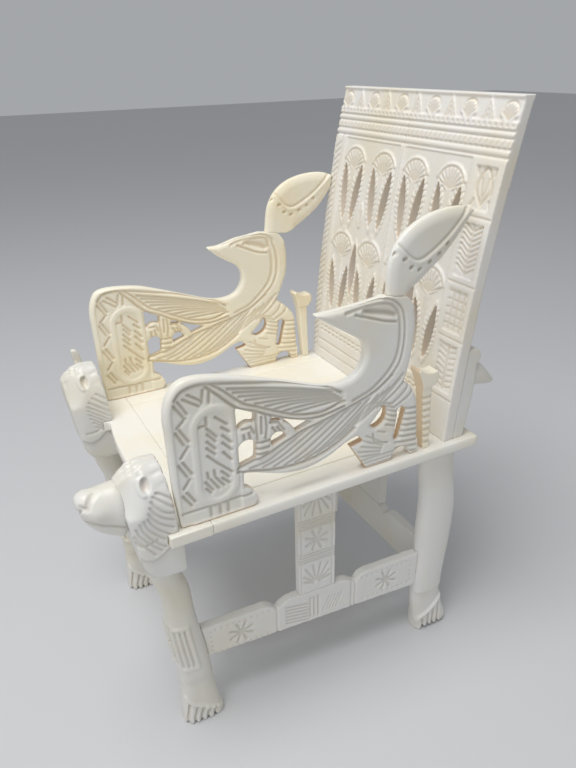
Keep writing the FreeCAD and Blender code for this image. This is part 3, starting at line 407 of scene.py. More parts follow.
def same_as_left(place):
    """The right arm's side view, brought to the left arm's: its head and tail stand back."""
    length = arm_end - arm_front_right
    b = place[:, 2] / arm_height
    a = (place[:, 1] - arm_front_right) / length
    for _ in range(4):
        head = np.maximum(np.clip((a - back_of_head_shares[0]) * 10, 0, 1),
                          np.clip((b - top_of_head_shares[0]) / 0.09, 0, 1))
        head *= np.clip((b - neck_shares[0]) / (neck_shares[1] - neck_shares[0]), 0, 1)
        tail = np.clip((a - tail_shares[0]) / (tail_shares[1] - tail_shares[0]), 0, 1)
        tail *= 1 - np.clip((b - under_tail_shares[0]) / 0.15, 0, 1)
        moved = head_lean_right * head + tail_reach_right * tail
        a = (place[:, 1] - arm_front_right - moved) / length
    return arm_front_left + a * (arm_end - arm_front_left), place[:, 2]


def draw_arm(c):
    """The winged bird: ring of signs at the front, two wings, head, lotus and tail."""
    c.groove(curve(rim_line), 1.0, 0.6)
    c.groove(plinth_line, 0.9, 0.5)
    for line in zigzag_lines + sign_lines:
        c.groove(line, 0.9, 0.6)
    for y in foot_line_places:
        c.upright(y, foot_line_heights, 1.0, 0.5)
    # Wings, body and head: lines, and their width and depth
    for lines, width, depth in ((upper_border_lines, 0.9, 0.65), (upper_feather_lines, 0.85, 0.55),
                                (lower_border_lines, 0.9, 0.65), (lower_feather_lines, 0.8, 0.45),
                                (body_lines, 0.9, 0.45), ([head_rim_line], 0.9, 0.5),
                                ([brow_line], 1.1, 0.5), ([eye_line], 1.7, 0.55),
                                ([lower_lid_line], 0.85, 0.55)):
        for line in lines:
            c.groove(curve(line), width, depth)
    for line in petal_lines:
        c.groove(line, 0.85, 0.6)
    # Tail: level ribs on its bar, turning with the arch, and a ribbed fan at its foot
    for z in np.arange(1.6, 19.5, 2.0):
        c.groove([(76.6, z + 0.5), (84.8, z - 0.5)], 0.9, 0.5)
    c.ribs([(67.5, 23.0), (70.2, 20.6), (72.5, 14)], [(74.6, 21.0), (76.0, 18.0), (76.4, 12.6)], 6,
           0.8, 0.45)
    c.ribs([(61.8, 5.2), (63.4, 8.4), (65.4, 12)], [(70.6, 4.0), (71.4, 6.2), (72, 7.6)], 5,
           0.8, 0.4)
    c.ribs([(61.8, 0.8), (62, 3.4)], [(77.4, 0.8), (76.8, 3.4)], 3, 0.8, 0.4)
    c.groove(fan_motif_line, 0.8, 0.5)
    c.groove(fan_tip_line, 0.8, 0.4)


def pinned(place):
    """Where an arm holds its dowels and its crown's tenon."""
    y, z = place[:, 1], place[:, 2]
    return (z < dowels_top) & (y > dowels_start) | (z > tenon_low) & (y > tenon_start)


def make_arm(side, material):
    arm = Piece("arm_panel_" + side, fine_cell)
    view = side_view if side == "left" else same_as_left
    for facing in (X, -X):
        arm.pillow(facing, *arm_roll, pinned)
    arm.measure()
    y, z = view(arm.place)
    tail = (ramp(y, tail_hole_start, tail_hole_start + 2)
            * ramp(tail_hole_end - y, 0, 1) * ramp(tail_hole_top - z, 0, 1))
    lotus = (ramp(y, lotus_start, lotus_start + 2) * ramp(lotus_end - y, 0, 4)
             * ramp(z, lotus_low, lotus_low + 2) * (z < lotus_top))
    # Brown painted shade on the walls of the tail's and the lotus's openings
    arm.shade_opening_walls(X, opening_shade, tail + lotus_share * lotus)
    foot = 1 - ramp(arm.place[:, 2], 0.2, 0.8)
    arm.stain_and_shade = np.maximum(arm.stain_and_shade, foot_brown * foot)
    for facing in (X, -X):
        arm.carve(facing, view, draw_arm)
    if side == "right":
        y, z = arm.place[:, 1], arm.place[:, 2]
        drop = beak_drop * ramp(beak_end - y, 0, 10) * ramp(z, beak_low, beak_high)
        arm.place[:, 2] -= drop
    arm.finish("arm_" + side, material)


# Crowns. Their carving is laid out on the left crown's side view.
crown_seat_place = (0.8285, 0.991)  # shares of the arm's length and height
crown_angles = {"left": 41.0, "right": 35.5}
crown_setbacks = {"left": 0.3, "right": 1.8}
crown_ridge_line = [(70.6, 73.4), (73.2, 71.2), (76.2, 68.2), (78.6, 66.2), (80.8, 65.5),
                    (84, 66.5), (90, 70.5), (95, 75.3), (97.4, 78)]
crown_dots = [(72.5, 68.8), (76, 67), (78.5, 64.3), (81.5, 63.3), (85, 65), (88.3, 66.9),
              (91, 69.5)]
crown_roll = (3.2, 1.0)


def draw_crown(c):
    ridge = curve(crown_ridge_line)
    c.groove(ridge, 0.9, 0.4)
    c.bead(ridge + np.array([0.5, -1.1]), 1.2, 0.25)
    for y, z in crown_dots:
        c.groove([(y - 0.3, z - 1.0), (y + 0.3, z - 0.7)], 1.0, 0.7)


def crown_foot(side):
    front, lean = (arm_front_left, 0) if side == "left" else (arm_front_right, head_lean_right)
    return (front + (arm_end - front) * crown_seat_place[0] + crown_setbacks[side] + lean,
            arm_height * crown_seat_place[1])


def make_crown(side, material):
    foot, left_foot = crown_foot(side), crown_foot("left")
    turn = math.radians(crown_angles["left"] - crown_angles[side])

    def crown_view(place):
        dy, dz = place[:, 1] - foot[0], place[:, 2] - foot[1]
        return (left_foot[0] + dy * math.cos(turn) - dz * math.sin(turn),
                left_foot[1] + dy * math.sin(turn) + dz * math.cos(turn))

    crown = Piece("arm_crown_" + side, fine_cell, 4)
    for facing in (X, -X):
        crown.pillow(facing, *crown_roll, lambda place: place[:, 2] < foot[1] + 1.0)
    crown.measure()
    for facing in (X, -X):
        crown.carve(facing, crown_view, draw_crown)
    crown.finish("crown_" + side, material)


# Arm posts. Only the left one shows rings, and brown painted shade on its front.
ring_pitch, rings_top = 2.4, 21.5
post_reach = (60, 110)           # the rings run past the post both ways
post_front_shade = 0.55


def draw_rings(c):
    for z in np.arange(ring_pitch, rings_top, ring_pitch):
        c.level(z, post_reach, 1.1, 0.5)


def make_post(side, material):
    post = Piece("arm_post_" + side, post_cell)
    if side == "left":
        # Painted shade: the faces that look forward are browned
        post.stain_and_shade = post_front_shade * ramp(-post.normal[:, 1], 0.3, 0.8)
        post.carve(X, side_view, draw_rings)
    post.finish("post_" + side, material)


# Lion heads: carved on both cheeks in side view
mane_lines = [
    [(-1.3, 13.7), (1.4, 11.8), (2.5, 10.8)], [(-2.5, 12.9), (-0.9, 11.4), (1, 9.8), (2.9, 8.3)],
    [(-3.2, 11.8), (-2.1, 9.8), (-0.2, 7.9), (2.5, 6.8)],
    [(-3.8, 10.2), (-2.5, 7.9), (-0.5, 6), (2.2, 4.5)],
    [(-4.4, 8.7), (-3.0, 6), (-0.9, 3.9), (1.8, 2.2)],
    [(-4.8, 7.2), (-3.6, 4.5), (-1.7, 2.2), (0.6, 0.2)],
    [(-5.9, 6.8), (-5.2, 4.1), (-3.2, 1.4), (-0.9, -0.9)],
    [(-7.1, 6), (-6.3, 3.3), (-4.8, 0.6), (-2.5, -2.1), (-0.9, -3.6)],
    [(-8.2, 4.5), (-7.5, 2.2), (-5.9, -0.2), (-4, -2.5), (-2.1, -4.4)],
    [(-9, 2.2), (-8.2, 0.6), (-7.1, -0.9), (-5.5, -3.2), (-4, -5.2)],
]
mane_roots_right = [(-0.9, 11.5), (-2.6, 10.4), (-3.9, 9.0), (-4.5, 7.5), (-4.7, 6.0), (-4.5, 4.4),
                    (-4.1, 2.7), (-3.4, 0.9), (-2.5, -1.0)]
mane_run_right = np.array([7.0, -5.3])
inner_tier_right = [(-6.1, -3.1), (-2.5, -2.8), (1.7, -0.1)]
inner_tier_line = [(-9.4, 1.4), (-8.6, -0.2), (-7.1, -1.5), (-5.2, -1.3), (-3.2, -0.5)]
# Glue stains: middle, reach and how brown
head_glue = {"left": [((44.2, 0.6, -2.2), (1.4, 1.2, 2.4), 0.9),
                      ((44.3, 2.8, 11.5), (2.4, 0.9, 5.0), 0.6)],
             "right": [((-26.9, 1.2, -2.6), (1.0, 1.0, 2.6), 1.0)]}
lion_axis = 35.8                 # how far the heads and front legs stand from the middle
collar_line = [(-9.2, -4.4), (-7.5, -6.3), (-4.8, -7.3), (-2.5, -6.7), (-0.5, -5.2), (1, -4),
               (4, -3)]
below_collar = [(8, -3), (8, -20), (-14, -20), (-14, -2)]
ear_hollow = (-3.8, 16.1, 1.8, 2.4)  # middle and half sizes
ear_from_axis = 7.0
head_rounds, upright_ear_low = 12, 21.0  # the upright ear keeps its edges above this height
forehead_start, forehead_low = 3.5, 17.5
nape_start, nape_low = -3.0, 5.0
lock_pitch, brow_step_pitch = 2.3, 2.2
face_start = 8.8                 # the right head's flat face stands this far forward
brow_height, eye_height, nose_top = 18.6, 16.0, 17


def draw_mane_left(c):
    for line in mane_lines:
        c.groove(curve(line), 0.8, 0.5)
    c.groove(curve(inner_tier_line), 0.9, 0.55)
    draw_cheek(c)


def draw_mane_right(c):
    for root in mane_roots_right:
        c.groove([root, root + mane_run_right], 0.75, 0.42)
    c.groove(curve(inner_tier_right), 0.8, 0.4)
    draw_cheek(c)


def draw_cheek(c):
    c.groove(curve(collar_line), 0.8, 0.5)
    c.sink(np.vstack([curve(collar_line), below_collar]), 0.55, 0.9)
    c.sink(oval(*ear_hollow), 1.5, 1.5)
    c.bead(oval(*ear_hollow)[12:32], 1.4, 0.4)


def make_head(side, axis, material):
    head = Piece("lion_head_" + side, fine_cell, 2)
    head.smooth(head_rounds, 0.5 * ramp(upright_ear_low - head.place[:, 2], 0, 2.0))
    head.measure()
    for facing in (X, -X):
        head.carve(facing, side_view, draw_mane_left if side == "left" else draw_mane_right)
    head.measure()
    x, y, z = head.place.T
    across = x - axis
    # Locks of fur over the forehead and down the mane's top
    front = (ramp(-y, forehead_start, forehead_start + 2)
             * ramp(z, forehead_low, forehead_low + 2) * ramp(head.normal[:, 2], 0.25, 0.5))
    back = (ramp(y, nape_start, nape_start + 2) * ramp(z, nape_low, nape_low + 3)
            * ramp(head.normal @ (Y + Z), 0.3, 0.7))
    locks = 0.5 + 0.5 * np.cos(across * 2 * math.pi / lock_pitch + 0.5 * np.sin(y * 1.3))
    depth = front * 0.6 * locks ** 1.5 + back * 0.3 * locks ** 2
    # Steps of the locks along the brow
    depth += front * 0.3 * (0.5 + 0.5 * np.sin(y * 2 * math.pi / brow_step_pitch + across * 0.4))
    aside = np.abs(across)
    if side == "left":
        # Eye sockets over the muzzle
        depth += 0.9 * bump((y, -10.6, 3.2), (z, 18.2, 7), (aside, 5.4, 5))
    else:
        # Brow, eyes and the nose's sides on the flat face
        brow = bump((z - brow_height - 0.25 * aside, 0, 0.5)) * ramp(-y, 9.0, 10.4)
        eye = bump((z, eye_height, 1.6), (aside, 3.4, 2.4))
        line = bump((aside - 1.6 - 0.25 * (nose_top - z), 0, 0.35)) * ramp(nose_top - z, 0, 2)
        depth += (0.25 * brow + 0.4 * eye + 0.2 * line) * ramp(-y, face_start, 10.2)
    head.press(depth, 0.3)
    # Painted shade in both ear hollows
    for way in (-1, 1):
        head.glue_and_shade_spot((axis + way * ear_from_axis, *ear_hollow[:2]), (4.0, 1.7, 2.1), 0.3)
    for spot in head_glue[side]:
        head.glue_and_shade_spot(*spot)
    head.smooth(1, 0.3)
    head.finish("head_" + side, material)


nose_crease = [(-20.3, 13.1), (-19.3, 12.7), (-17.9, 14.5), (-14.6, 16.5), (-11.5, 17.6),
               (-9.2, 17.9)]
mouth_line = [(-19.4, 8.6), (-18.4, 8.3), (-16.1, 7.1), (-12.5, 5.8), (-10.3, 4.7)]
nose_middle, nose_reach = np.array([lion_axis, -19.6, 13.4]), np.array([3.0, 2.0, 2.0])
muzzle_glue = [((lion_axis, -20.2, 10.2), (3.2, 1.2, 0.9), 0.5),
               ((lion_axis, -10.6, 2.5), (6.0, 1.2, 3.5), 0.5)]
root_start, root_end, root_reach = -11.6, -10.2, 3.0
pad_middle, pad_reach = np.array([-16.8, 10.6]), np.array([2.8, 2.6])


def draw_muzzle(c):
    c.groove(curve(nose_crease), 1.3, 0.55)
    c.groove(curve(mouth_line), 0.9, 0.6)


def draw_nose(c):
    """Under the nose, from the front: its lower edge, the split lip and the mouth."""
    u, v = nose_middle[0], nose_middle[2]
    c.groove(curve([(u - 3.4, v - 0.6), (u - 2.0, v - 2.2), (u, v - 3.0), (u + 2.0, v - 2.2),
                    (u + 3.4, v - 0.6)]), 0.9, 0.55)
    c.groove([(u, v - 3.0), (u, v - 4.6)], 0.8, 0.5)
    c.groove(curve([(u - 4.4, v - 5.8), (u, v - 4.4), (u + 4.4, v - 5.8)]), 0.9, 0.55)


def make_muzzle(material):
    muzzle = Piece("lion_muzzle_left", muzzle_cell, 3)
    away = (muzzle.place - nose_middle) / nose_reach
    ball = np.exp(-(away ** 2).sum(1))
    away = (muzzle.place[:, 1:] - pad_middle) / pad_reach
    cheek = np.exp(-(away ** 2).sum(1)) * np.abs(muzzle.normal[:, 0])
    muzzle.press(-(0.6 * ball + 0.7 * cheek))
    # Its root runs on into the head
    muzzle.place[:, 1] += root_reach * ramp(muzzle.place[:, 1], root_start, root_end)
    muzzle.measure()
    for facing in (X, -X):
        muzzle.carve(facing, side_view, draw_muzzle, 0.1, 0.5)
    muzzle.carve(-Y, front_view, draw_nose, 0.2, 0.6)
    for spot in muzzle_glue:
        muzzle.glue_and_shade_spot(*spot)
    muzzle.smooth(1, 0.4)
    muzzle.finish("muzzle_left", material)


# Legs
front_ledge_line = [(-2.0, -66.0), (-0.7, -68.4), (-0.1, -72.5), (2.3, -75.9), (6.8, -79.4),
                    (11.8, -82.4), (14.5, -83.4)]
front_toe_gaps = [(0.6, 1.6, -76.6), (2.8, 4.0, -78.2), (5.0, 6.2, -79.4), (7.3, 8.4, -80.8),
                  (9.8, 10.6, -82.0)]
rear_ledge_line = [(106.0, -70.4), (102.1, -73.0), (98.3, -76.3), (95.3, -78.3), (93.6, -80.4),
                   (92.8, -86)]
rear_toe_gaps = [(95.7, 95.4, -79.4), (97.9, 98.0, -78.0), (100.1, 100.4, -76.4),
                 (102.4, 103.0, -75.0)]
# The rest of the outline that is sunk above each ledge
front_ankle = [(20, -83), (20, -60), (-2, -60)]
rear_ankle = [(86, -86), (86, -66), (106, -66)]
ankle_level, ankle_fade = -64.0, 5.0
floor_level, leg_top = -85.5, -14.6
toe_gap_bend, toe_gap_top, toe_gap_rise = -83.5, -80.5, 1.3
rear_toes_start, rear_toes_end, rear_toes_top, rear_toes_lift = 94.4, 95.6, -79, 1.2
# How the front leg leans: shares of its height and of its lean
front_leg_lean = 7.0
front_leg_shares = [(0, 0.96), (0.06, 0.93), (0.134, 0.88), (0.21, 0.86), (0.33, 0.78),
                    (0.49, 0.57), (0.6, 0.43), (0.7, 0.36), (0.85, 0.18), (1, 0)]
# The fluted cuff: its edges rise from the sides to the front; turns are in degrees
cuff_top, cuff_top_rise, cuff_low, cuff_low_rise = -40.2, 4.6, -60.6, 3.6
cuff_turn, rim_turn, flutes_turn, flute_pitch = 112, 95, 98, 21
notch_heights = (-46.6, -54.2)
cuff_height, rim_height, flute_depth, notch_depth = 0.5, 0.22, 0.75, 0.7
right_leg_offset = 1.3           # the right front leg stands further back
rear_leg_axis = 40.5


def make_front_leg(side, axis, offset, material):
    leg = Piece("front_leg_" + side, front_leg_cell, 2)
    x, y, z = leg.place.T
    heights, leans = zip(*front_leg_shares)
    share = (z - floor_level) / (leg_top - floor_level)
    middle = offset + front_leg_lean * np.interp(share, heights, leans)
    # Round the leg from the front, at 0, to the sides, at a quarter turn each way
    turn = np.degrees(np.arctan2(np.abs(x - axis), middle - y))
    top = cuff_top + cuff_top_rise * ramp(-turn, -48, 6)
    low = cuff_low + cuff_low_rise * ramp(-turn, -40, 0)
    cuff = ramp(top - z, -0.2, 0.5) * ramp(z - low, -0.2, 0.5) * ramp(cuff_turn - turn, 0, 8)
    rim = bump((z - top + 0.5, 0, 0.35)) * ramp(rim_turn - turn, 0, 20)
    fluted = ramp(top - 1.2 - z, 0, 1.0) * ramp(z - low - 1.6, 0, 1.0)
    flutes = (fluted * (0.5 + 0.5 * np.cos(turn * 2 * math.pi / flute_pitch)) ** 1.6
              * ramp(flutes_turn - turn, 0, 8))
    notches = sum(bump((z, at, 0.22)) for at in notch_heights) * ramp(-turn, -26, -8)
    grooves = (flute_depth * flutes + notch_depth * notches) * cuff
    leg.press(grooves - cuff_height * cuff - rim_height * rim)
    # The flutes and notches are painted with shade and a patina
    leg.cut = 0.7 * grooves
    leg.measure()
    foot_of(leg, front_ledge_line, front_ankle, front_toe_gaps, offset, axis)
    leg.smooth(1, 0.3)
    leg.finish("front_leg_carved_" + side, material)


def foot_of(leg, ledge, ankle, gaps, offset, axis):
    """Toes below a ledge on both sides of a foot, and the gaps between them."""
    def draw(c):
        line = curve(ledge)
        c.sink(np.vstack([line, ankle]), 0.7, 0.4)
        c.ground *= ramp(ankle_level - c.v, 0, ankle_fade) * (c.v < ankle_level - 0.5)
        c.bead(line, 0.85, 0.6)
        for foot, top, height in gaps:
            c.groove([(foot, floor_level - 1), (foot, toe_gap_bend), (top, height)], 0.75, 0.8)
    for facing in (X, -X):
        leg.carve(facing, lambda place: (place[:, 1] - offset, place[:, 2]), draw, 0.1, 0.5)
    x, y, z = leg.place.T
    reach = ramp(toe_gap_top - z, 0, 3.0) * ramp(np.abs(x - axis), 0.8, 2.4)
    rise = np.zeros(len(z))
    for foot, top, height in gaps:
        rise = np.maximum(rise, toe_gap_rise * bump((y - offset - foot, 0, 0.28)))
    leg.place[:, 2] += rise * reach


def make_rear_leg(side, axis, material):
    leg = Piece("rear_leg_" + side, rear_leg_cell, 2)
    foot_of(leg, rear_ledge_line, rear_ankle, rear_toe_gaps, 0.0, axis)
    y, z = leg.place[:, 1], leg.place[:, 2]
    toes = ramp(y, rear_toes_start, rear_toes_end) * ramp(rear_toes_top - z, 0, 4)
    leg.place[:, 2] += rear_toes_lift * toes
    leg.smooth(1, 0.3)
    leg.finish("rear_leg_carved_" + side, material)


# Stretchers and struts
rail_low, rail_top = -61.9, 15   # the carving's heights count from rail_low
rail_ends = 6.0                  # its tenons, which show no carving
inner_share = 0.22               # of the length, from the middle to the framed stars
frame_low, frame_high, frame_margin = 2.6, 12.6, 1.6
star_height, star_size = 7.6, 4.2
rib_low, rib_top, rib_pitch, rib_slope = 3.0, 11.0, 1.45, 0.7
# Shares of the length: where the level ribs start and end, and the others' start, end and step
level_ribs = (-0.145, -0.045)
upright_ribs, slanting_lines = (-0.032, 0.015, 0.019), (0.03, 0.1, 0.016)
slant, last_line = 0.03, 0.17
upright_reach, last_line_reach = (2.6, 11.6), (0.6, 14.4)


def star(c, u, v, size, width=0.9, depth=0.5, rays=4):
    for k in range(rays):
        turn = math.pi * (k + 0.5) / rays
        du, dv = size * math.cos(turn), size * math.sin(turn)
        c.groove([(u - du, v - dv), (u + du, v + dv)], width, depth)


def dots(c, line, pitch, width=0.8, depth=0.35):
    for u, v in spread_on(line, lambda whole: np.arange(pitch / 2, whole, pitch)):
        c.groove([(u, v), (u + 0.01, v)], width, depth)


def draw_rail(length, *_):
    """Stars in dotted frames at both ends, and hatched panels in the middle."""
    length = length - rail_ends

    def draw(c):
        c.v = c.v - rail_low
        for way in (-1, 1):
            inner, outer = inner_share * length, length / 2 - frame_margin
            middle = (inner + outer) / 2
            star(c, way * middle, star_height, star_size, 0.9, 0.6)
            dots(c, [(way * inner, frame_low), (way * outer, frame_low),
                     (way * outer, frame_high), (way * inner, frame_high)], 2.1)
            c.upright(way * inner * 0.86, (0, rail_top), 0.8, 0.35)
        # Middle, from the front: level ribs, upright ribs, fine slanting lines
        start, end = level_ribs
        for v in np.arange(rib_low, rib_top, rib_pitch):
            c.groove([(start * length, v + rib_slope), (end * length, v - rib_slope)], 0.8, 0.5)
        for u in np.arange(*upright_ribs):
            c.upright(u * length, upright_reach, 0.8, 0.5)
        for u in np.arange(*slanting_lines):
            c.groove([(u * length, 4.0), ((u + slant) * length, 9.6)], 0.6, 0.3)
        c.upright(last_line * length, last_line_reach, 0.8, 0.4)
    return draw


strut_foot, strut_head = 3.4, 2.2  # what stays plain below and above the panels
seam_shifts = (-1.6, -0.5, 0.6, 1.7)
fan_foot, fan_start, fan_turns = 2.4, 1.2, np.radians(np.arange(20, 161, 20))


def draw_strut(width, low, high):
    """Three stacked panels: rays, a star and rays, between double lines."""
    half_width, low, high = width / 2, low + strut_foot, high - strut_head

    def draw(c):
        bounds = np.linspace(low, high, 4)
        for v in bounds[1:3]:
            for shift in seam_shifts:
                c.level(v + shift, (-half_width, half_width), 0.7, 0.45)
        for way in (-1, 1):
            c.upright(way * (half_width - 1.0), (low, high), 0.7, 0.3)
        for k, (a, b) in enumerate(zip(bounds, bounds[1:])):
            v = (a + b) / 2
            if k == 1:
                star(c, 0, v, min(half_width, (b - a) / 2) * 0.62)
            else:
                foot = a + fan_foot if k == 0 else b - fan_foot
                for turn in fan_turns:
                    du, dv = math.cos(turn), math.sin(turn) * (1 if k == 0 else -1)
                    reach = min(half_width * 0.72 / max(abs(du), 0.01), (b - a) * 0.6)
                    c.groove([(fan_start * du, foot + fan_start * dv),
                              (reach * du, foot + reach * dv)], 0.8, 0.5)
    return draw


def make_board(node, name, facing, draw_for, material):
    """A straight board carved on one side; draw_for takes its length and both its heights."""
    board = Piece(node, fine_cell)
    turned = board.normal @ facing
    outward = board.normal[turned > 0.9].mean(0)
    outward[2] = 0
    outward /= np.linalg.norm(outward)
    along = np.cross(Z, outward)
    reach = board.place @ along
    middle = (reach.min() + reach.max()) / 2
    low, high = board.place[:, 2].min(), board.place[:, 2].max()
    draw = draw_for(reach.max() - reach.min(), low, high)
    board.carve(outward, lambda place: (place @ along - middle, place[:, 2]), draw)
    board.finish(name, material)


# Back plates, seen from the front in x and z
bay_middles = (-29.9, -11.6, 6.4, 24.2)
half_bays = (9.1, 9.1, 8.9, 8.9)
bay_seams = (-20.7, 15.3)
stem_reaches = ((17.6, 45.8), (58.0, 78.8))
papyrus_heads = ((45.5, 0.86, 10.6), (78.4, 0.78, 8.6))  # foot, share of the half bay, height
papyrus_side = 0.44              # of a head's height, where its sides end
opening_leaves = ((0.3, 23.1, 0.62, 44.0, 0.2), (0.26, 59.0, 0.6, 81.4, 0.21))
bud_reaches = ((20.1, 29.4), (58.6, 67.9))
frieze_low, frieze_width, frieze_count = 99.8, 91.2, 11
pilaster_middle = 38.5
field_left, field_right, field_low, field_top = -39.5, 34, 14, 90
field_wall_shade = 0.25
rope_start, rope_end = -45.0, -40.6
rope_reach, rope_turns = (3, 90), (4.5, 88, 2.4)
water_levels, water_reach, water_height = (12.6, 14.4), (-38.6, 33.4, 1.5), 0.7
foot_line_levels, foot_line_reach = (4.4, 8.4), (-39, 33)
cornice_ticks = (-45.5, 46, 2.3)
# The pilaster's sunk panels, from the foot: reeds, a lattice, a palm and a bud
pilaster_seams = (14.9, 35.2, 52.9, 73.2)
reed_reach, lattice_reach, palm_reach = (17.4, 32.8), (37.6, 50.4), (55.4, 71)
bud_outline = [(0, 76.5), (-3.0, 81.4), (0, 87.2), (3.0, 81.4), (0, 76.5)]


def fan_rim(u, v, half, tall):
    """The arc over a papyrus head."""
    side = papyrus_side * tall
    drop = tall - side
    radius = (half ** 2 + drop ** 2) / (2 * drop)
    reach = math.asin(min(half / radius, 1))
    turn = np.linspace(-reach, reach, 13)
    return np.stack([u + radius * np.sin(turn), v + tall - radius * (1 - np.cos(turn))], 1)


def umbel(c, u, v, half, tall, rays=9):
    """Rays and two arcs on the fan-shaped head of a papyrus."""
    foot = np.array([u, v + 0.8])
    rim = fan_rim(u, v, half, tall)
    c.groove(foot + 0.86 * (rim - foot), 0.7, 0.4)
    c.groove(foot + 0.42 * (rim - foot), 0.6, 0.3)
    for k in np.linspace(0, len(rim) - 1, rays):
        end = np.array([np.interp(k, range(len(rim)), rim[:, i]) for i in (0, 1)])
        c.groove([foot, foot + 0.84 * (end - foot)], 0.65, 0.4)


def draw_field(c):
    """Papyrus thickets in four bays between the bands."""
    for u, half_bay in zip(bay_middles, half_bays):
        for v0, v1 in stem_reaches:
            for shift in (-0.5, 0.5):
                c.upright(u + shift, (v0, v1), 0.5, 0.3)
        for v, half_share, tall in papyrus_heads:
            umbel(c, u, v, half_share * half_bay, tall)
        for way in (-1, 1):
            # Ribs on the rims of the leaf-shaped openings
            for a0, v0, a1, v1, belly in opening_leaves:
                u0, u1 = u + way * a0 * half_bay, u + way * a1 * half_bay
                along = np.array([u1 - u0, v1 - v0]) / math.hypot(u1 - u0, v1 - v0)
                across = np.array([along[1], -along[0]])
                for side in (-1, 1):
                    middle = (np.array([u0, v0]) + np.array([u1, v1])) / 2
                    belly_place = middle + across * side * belly * half_bay
                    inner = curve([(u0, v0), belly_place, (u1, v1)], 12)
                    outer = inner + across * side * 1.2
                    for p, q in zip(inner[3:-3:2], outer[3:-3:2]):
                        c.groove([p, q + along * 0.8], 0.6, 0.35)
    for u in bay_seams:
        for v0, v1 in bud_reaches:
            c.upright(u, (v0 + 1, v1 - 1), 0.6, 0.35)
            for way in (-1, 1):
                c.groove([(u, v0 + 1.4), (u + way * 0.9, (v0 + v1) / 2 + 1.5)], 0.55, 0.3)
    # Water along the foot of the field
    for v in water_levels:
        spots = np.arange(*water_reach)
        c.groove([(u, v + water_height * (k % 2)) for k, u in enumerate(spots)], 0.7, 0.4)


def draw_bands(c):
    """Ticks on the cornice and lines on the frieze's plants and steps."""
    for u in np.arange(*cornice_ticks):
        c.groove([(u, 93.4), (u + 0.5, 94.6)], 0.8, 0.35)
        c.groove([(u, 98.7), (u + 0.01, 98.7)], 0.9, 0.35)
    pitch = frieze_width / frieze_count
    for k in range(frieze_count):
        u = (k + 0.5) * pitch - frieze_width / 2
        half = 0.4 * pitch
        if k % 2:
            for share in (0.72, 0.46, 0.22):
                c.groove([(u - half * share, frieze_low + 0.2), (u, frieze_low + 6.2 * share),
                          (u + half * share, frieze_low + 0.2)], 0.6, 0.35)
        else:
            umbel(c, u, frieze_low - 0.6, half, 6.6, 7)


def draw_pilaster(c):
    """In the sunk panels, from the top: a bud, a palm, a lattice and reeds."""
    u = pilaster_middle
    c.groove(curve([(u + aside, v) for aside, v in bud_outline]), 0.9, 0.45)
    for way in (-1, 1):
        c.groove([(u, 77.5), (u + way * 1.5, 84)], 0.7, 0.4)
        c.groove([(u + way * 3.2, 85), (u + way * 3.9, 87)], 0.8, 0.4)
        c.groove([(u + way * 3.2, 77.8), (u + way * 3.9, 76.2)], 0.8, 0.4)
        for v in np.arange(56.2, 69.6, 1.6):
            c.groove([(u + way * 0.5, v), (u + way * 3.9, v + 2.0)], 0.7, 0.42)
        for v in np.arange(18.2, 32.6, 2.0):
            c.groove([(u + way * 1.0, v), (u + way * 3.8, v + 0.9)], 0.7, 0.35)
    c.upright(u, palm_reach, 0.7, 0.4)
    for shift in (-2.4, 0, 2.4):
        c.upright(u + shift, lattice_reach, 0.7, 0.4)
    for v in np.arange(39.4, 50.0, 2.6):
        c.level(v, (u - 4.0, u + 4.0), 0.7, 0.35)
    c.upright(u, reed_reach, 0.9, 0.4)
    for v in pilaster_seams:
        c.level(v, (u - 5.2, u + 7), 0.7, 0.35)


def draw_rope(c):
    """A twisted strip along the other edge."""
    for u in (rope_start + 0.3, rope_end):
        c.upright(u, rope_reach, 0.8, 0.45)
    for v in np.arange(*rope_turns):
        c.groove(curve([(rope_start + 0.6, v - 1.1), ((rope_start + rope_end) / 2, v),
                        (rope_end - 0.4, v + 1.4)]), 0.75, 0.42)


def draw_back(c):
    draw_field(c)
    draw_bands(c)
    draw_pilaster(c)
    draw_rope(c)
    for v in foot_line_levels:
        c.level(v, foot_line_reach, 0.8, 0.35)


def make_back(side, material):
    plate = Piece("back_plate_" + side, plate_cell)
    x, z = plate.place[:, 0], plate.place[:, 2]
    field = (ramp(field_right - x, 0, 1) * ramp(x, field_left, field_left + 1)
             * ramp(z, field_low, field_low + 1) * (z < field_top))
    # Brown painted shade on the walls of the field's openings
    plate.shade_opening_walls(Y, field_wall_shade, field)
    plate.carve(-Y, front_view, draw_back)
    plate.finish("back_" + side, material)


def plain(node, name, cell, material, rounds=1):
    """A piece that is only rounded, with no carving."""
    Piece(node, cell, rounds).finish(name, material)


def set_inputs(node, values):
    for name, value in values.items():
        node.inputs[name].default_value = value


def node_of(tree, kind, inputs=None, **settings):
    node = tree.nodes.new(kind)
    for name, value in settings.items():
        setattr(node, name, value)
    set_inputs(node, inputs or {})
    return node


# Bone's look; scales of noise are per metre, and distances in metres
polish = {"Roughness": 0.38, "IOR": 1.5, "Subsurface Weight": 0.12,
          "Subsurface Radius": (1.0, 0.75, 0.5), "Subsurface Scale": 0.0012}
cloud_look = {"Scale": 38.0, "Detail": 3.0}
grain_look = {"Scale": 1.0, "Detail": 2.0}
grain_across, grain_along = 900.0, 60.0
cloud_tint = (0.97, 0.93, 0.82)
cloud_span = {"From Min": 0.42, "From Max": 0.68}
# Painted shade with a patina in the grooves: the crevice colour starts at the first depth and is
# full at the second
crevice_start, crevice_full = 0.12, 0.85  # depths of the cuts, in millimetres
grain_bump = {"Strength": 0.25, "Distance": 0.00006}
# Brown of old glue stains, also used as painted shade in openings and hollows
stain_and_shade_colour = (0.6, 0.37, 0.16)


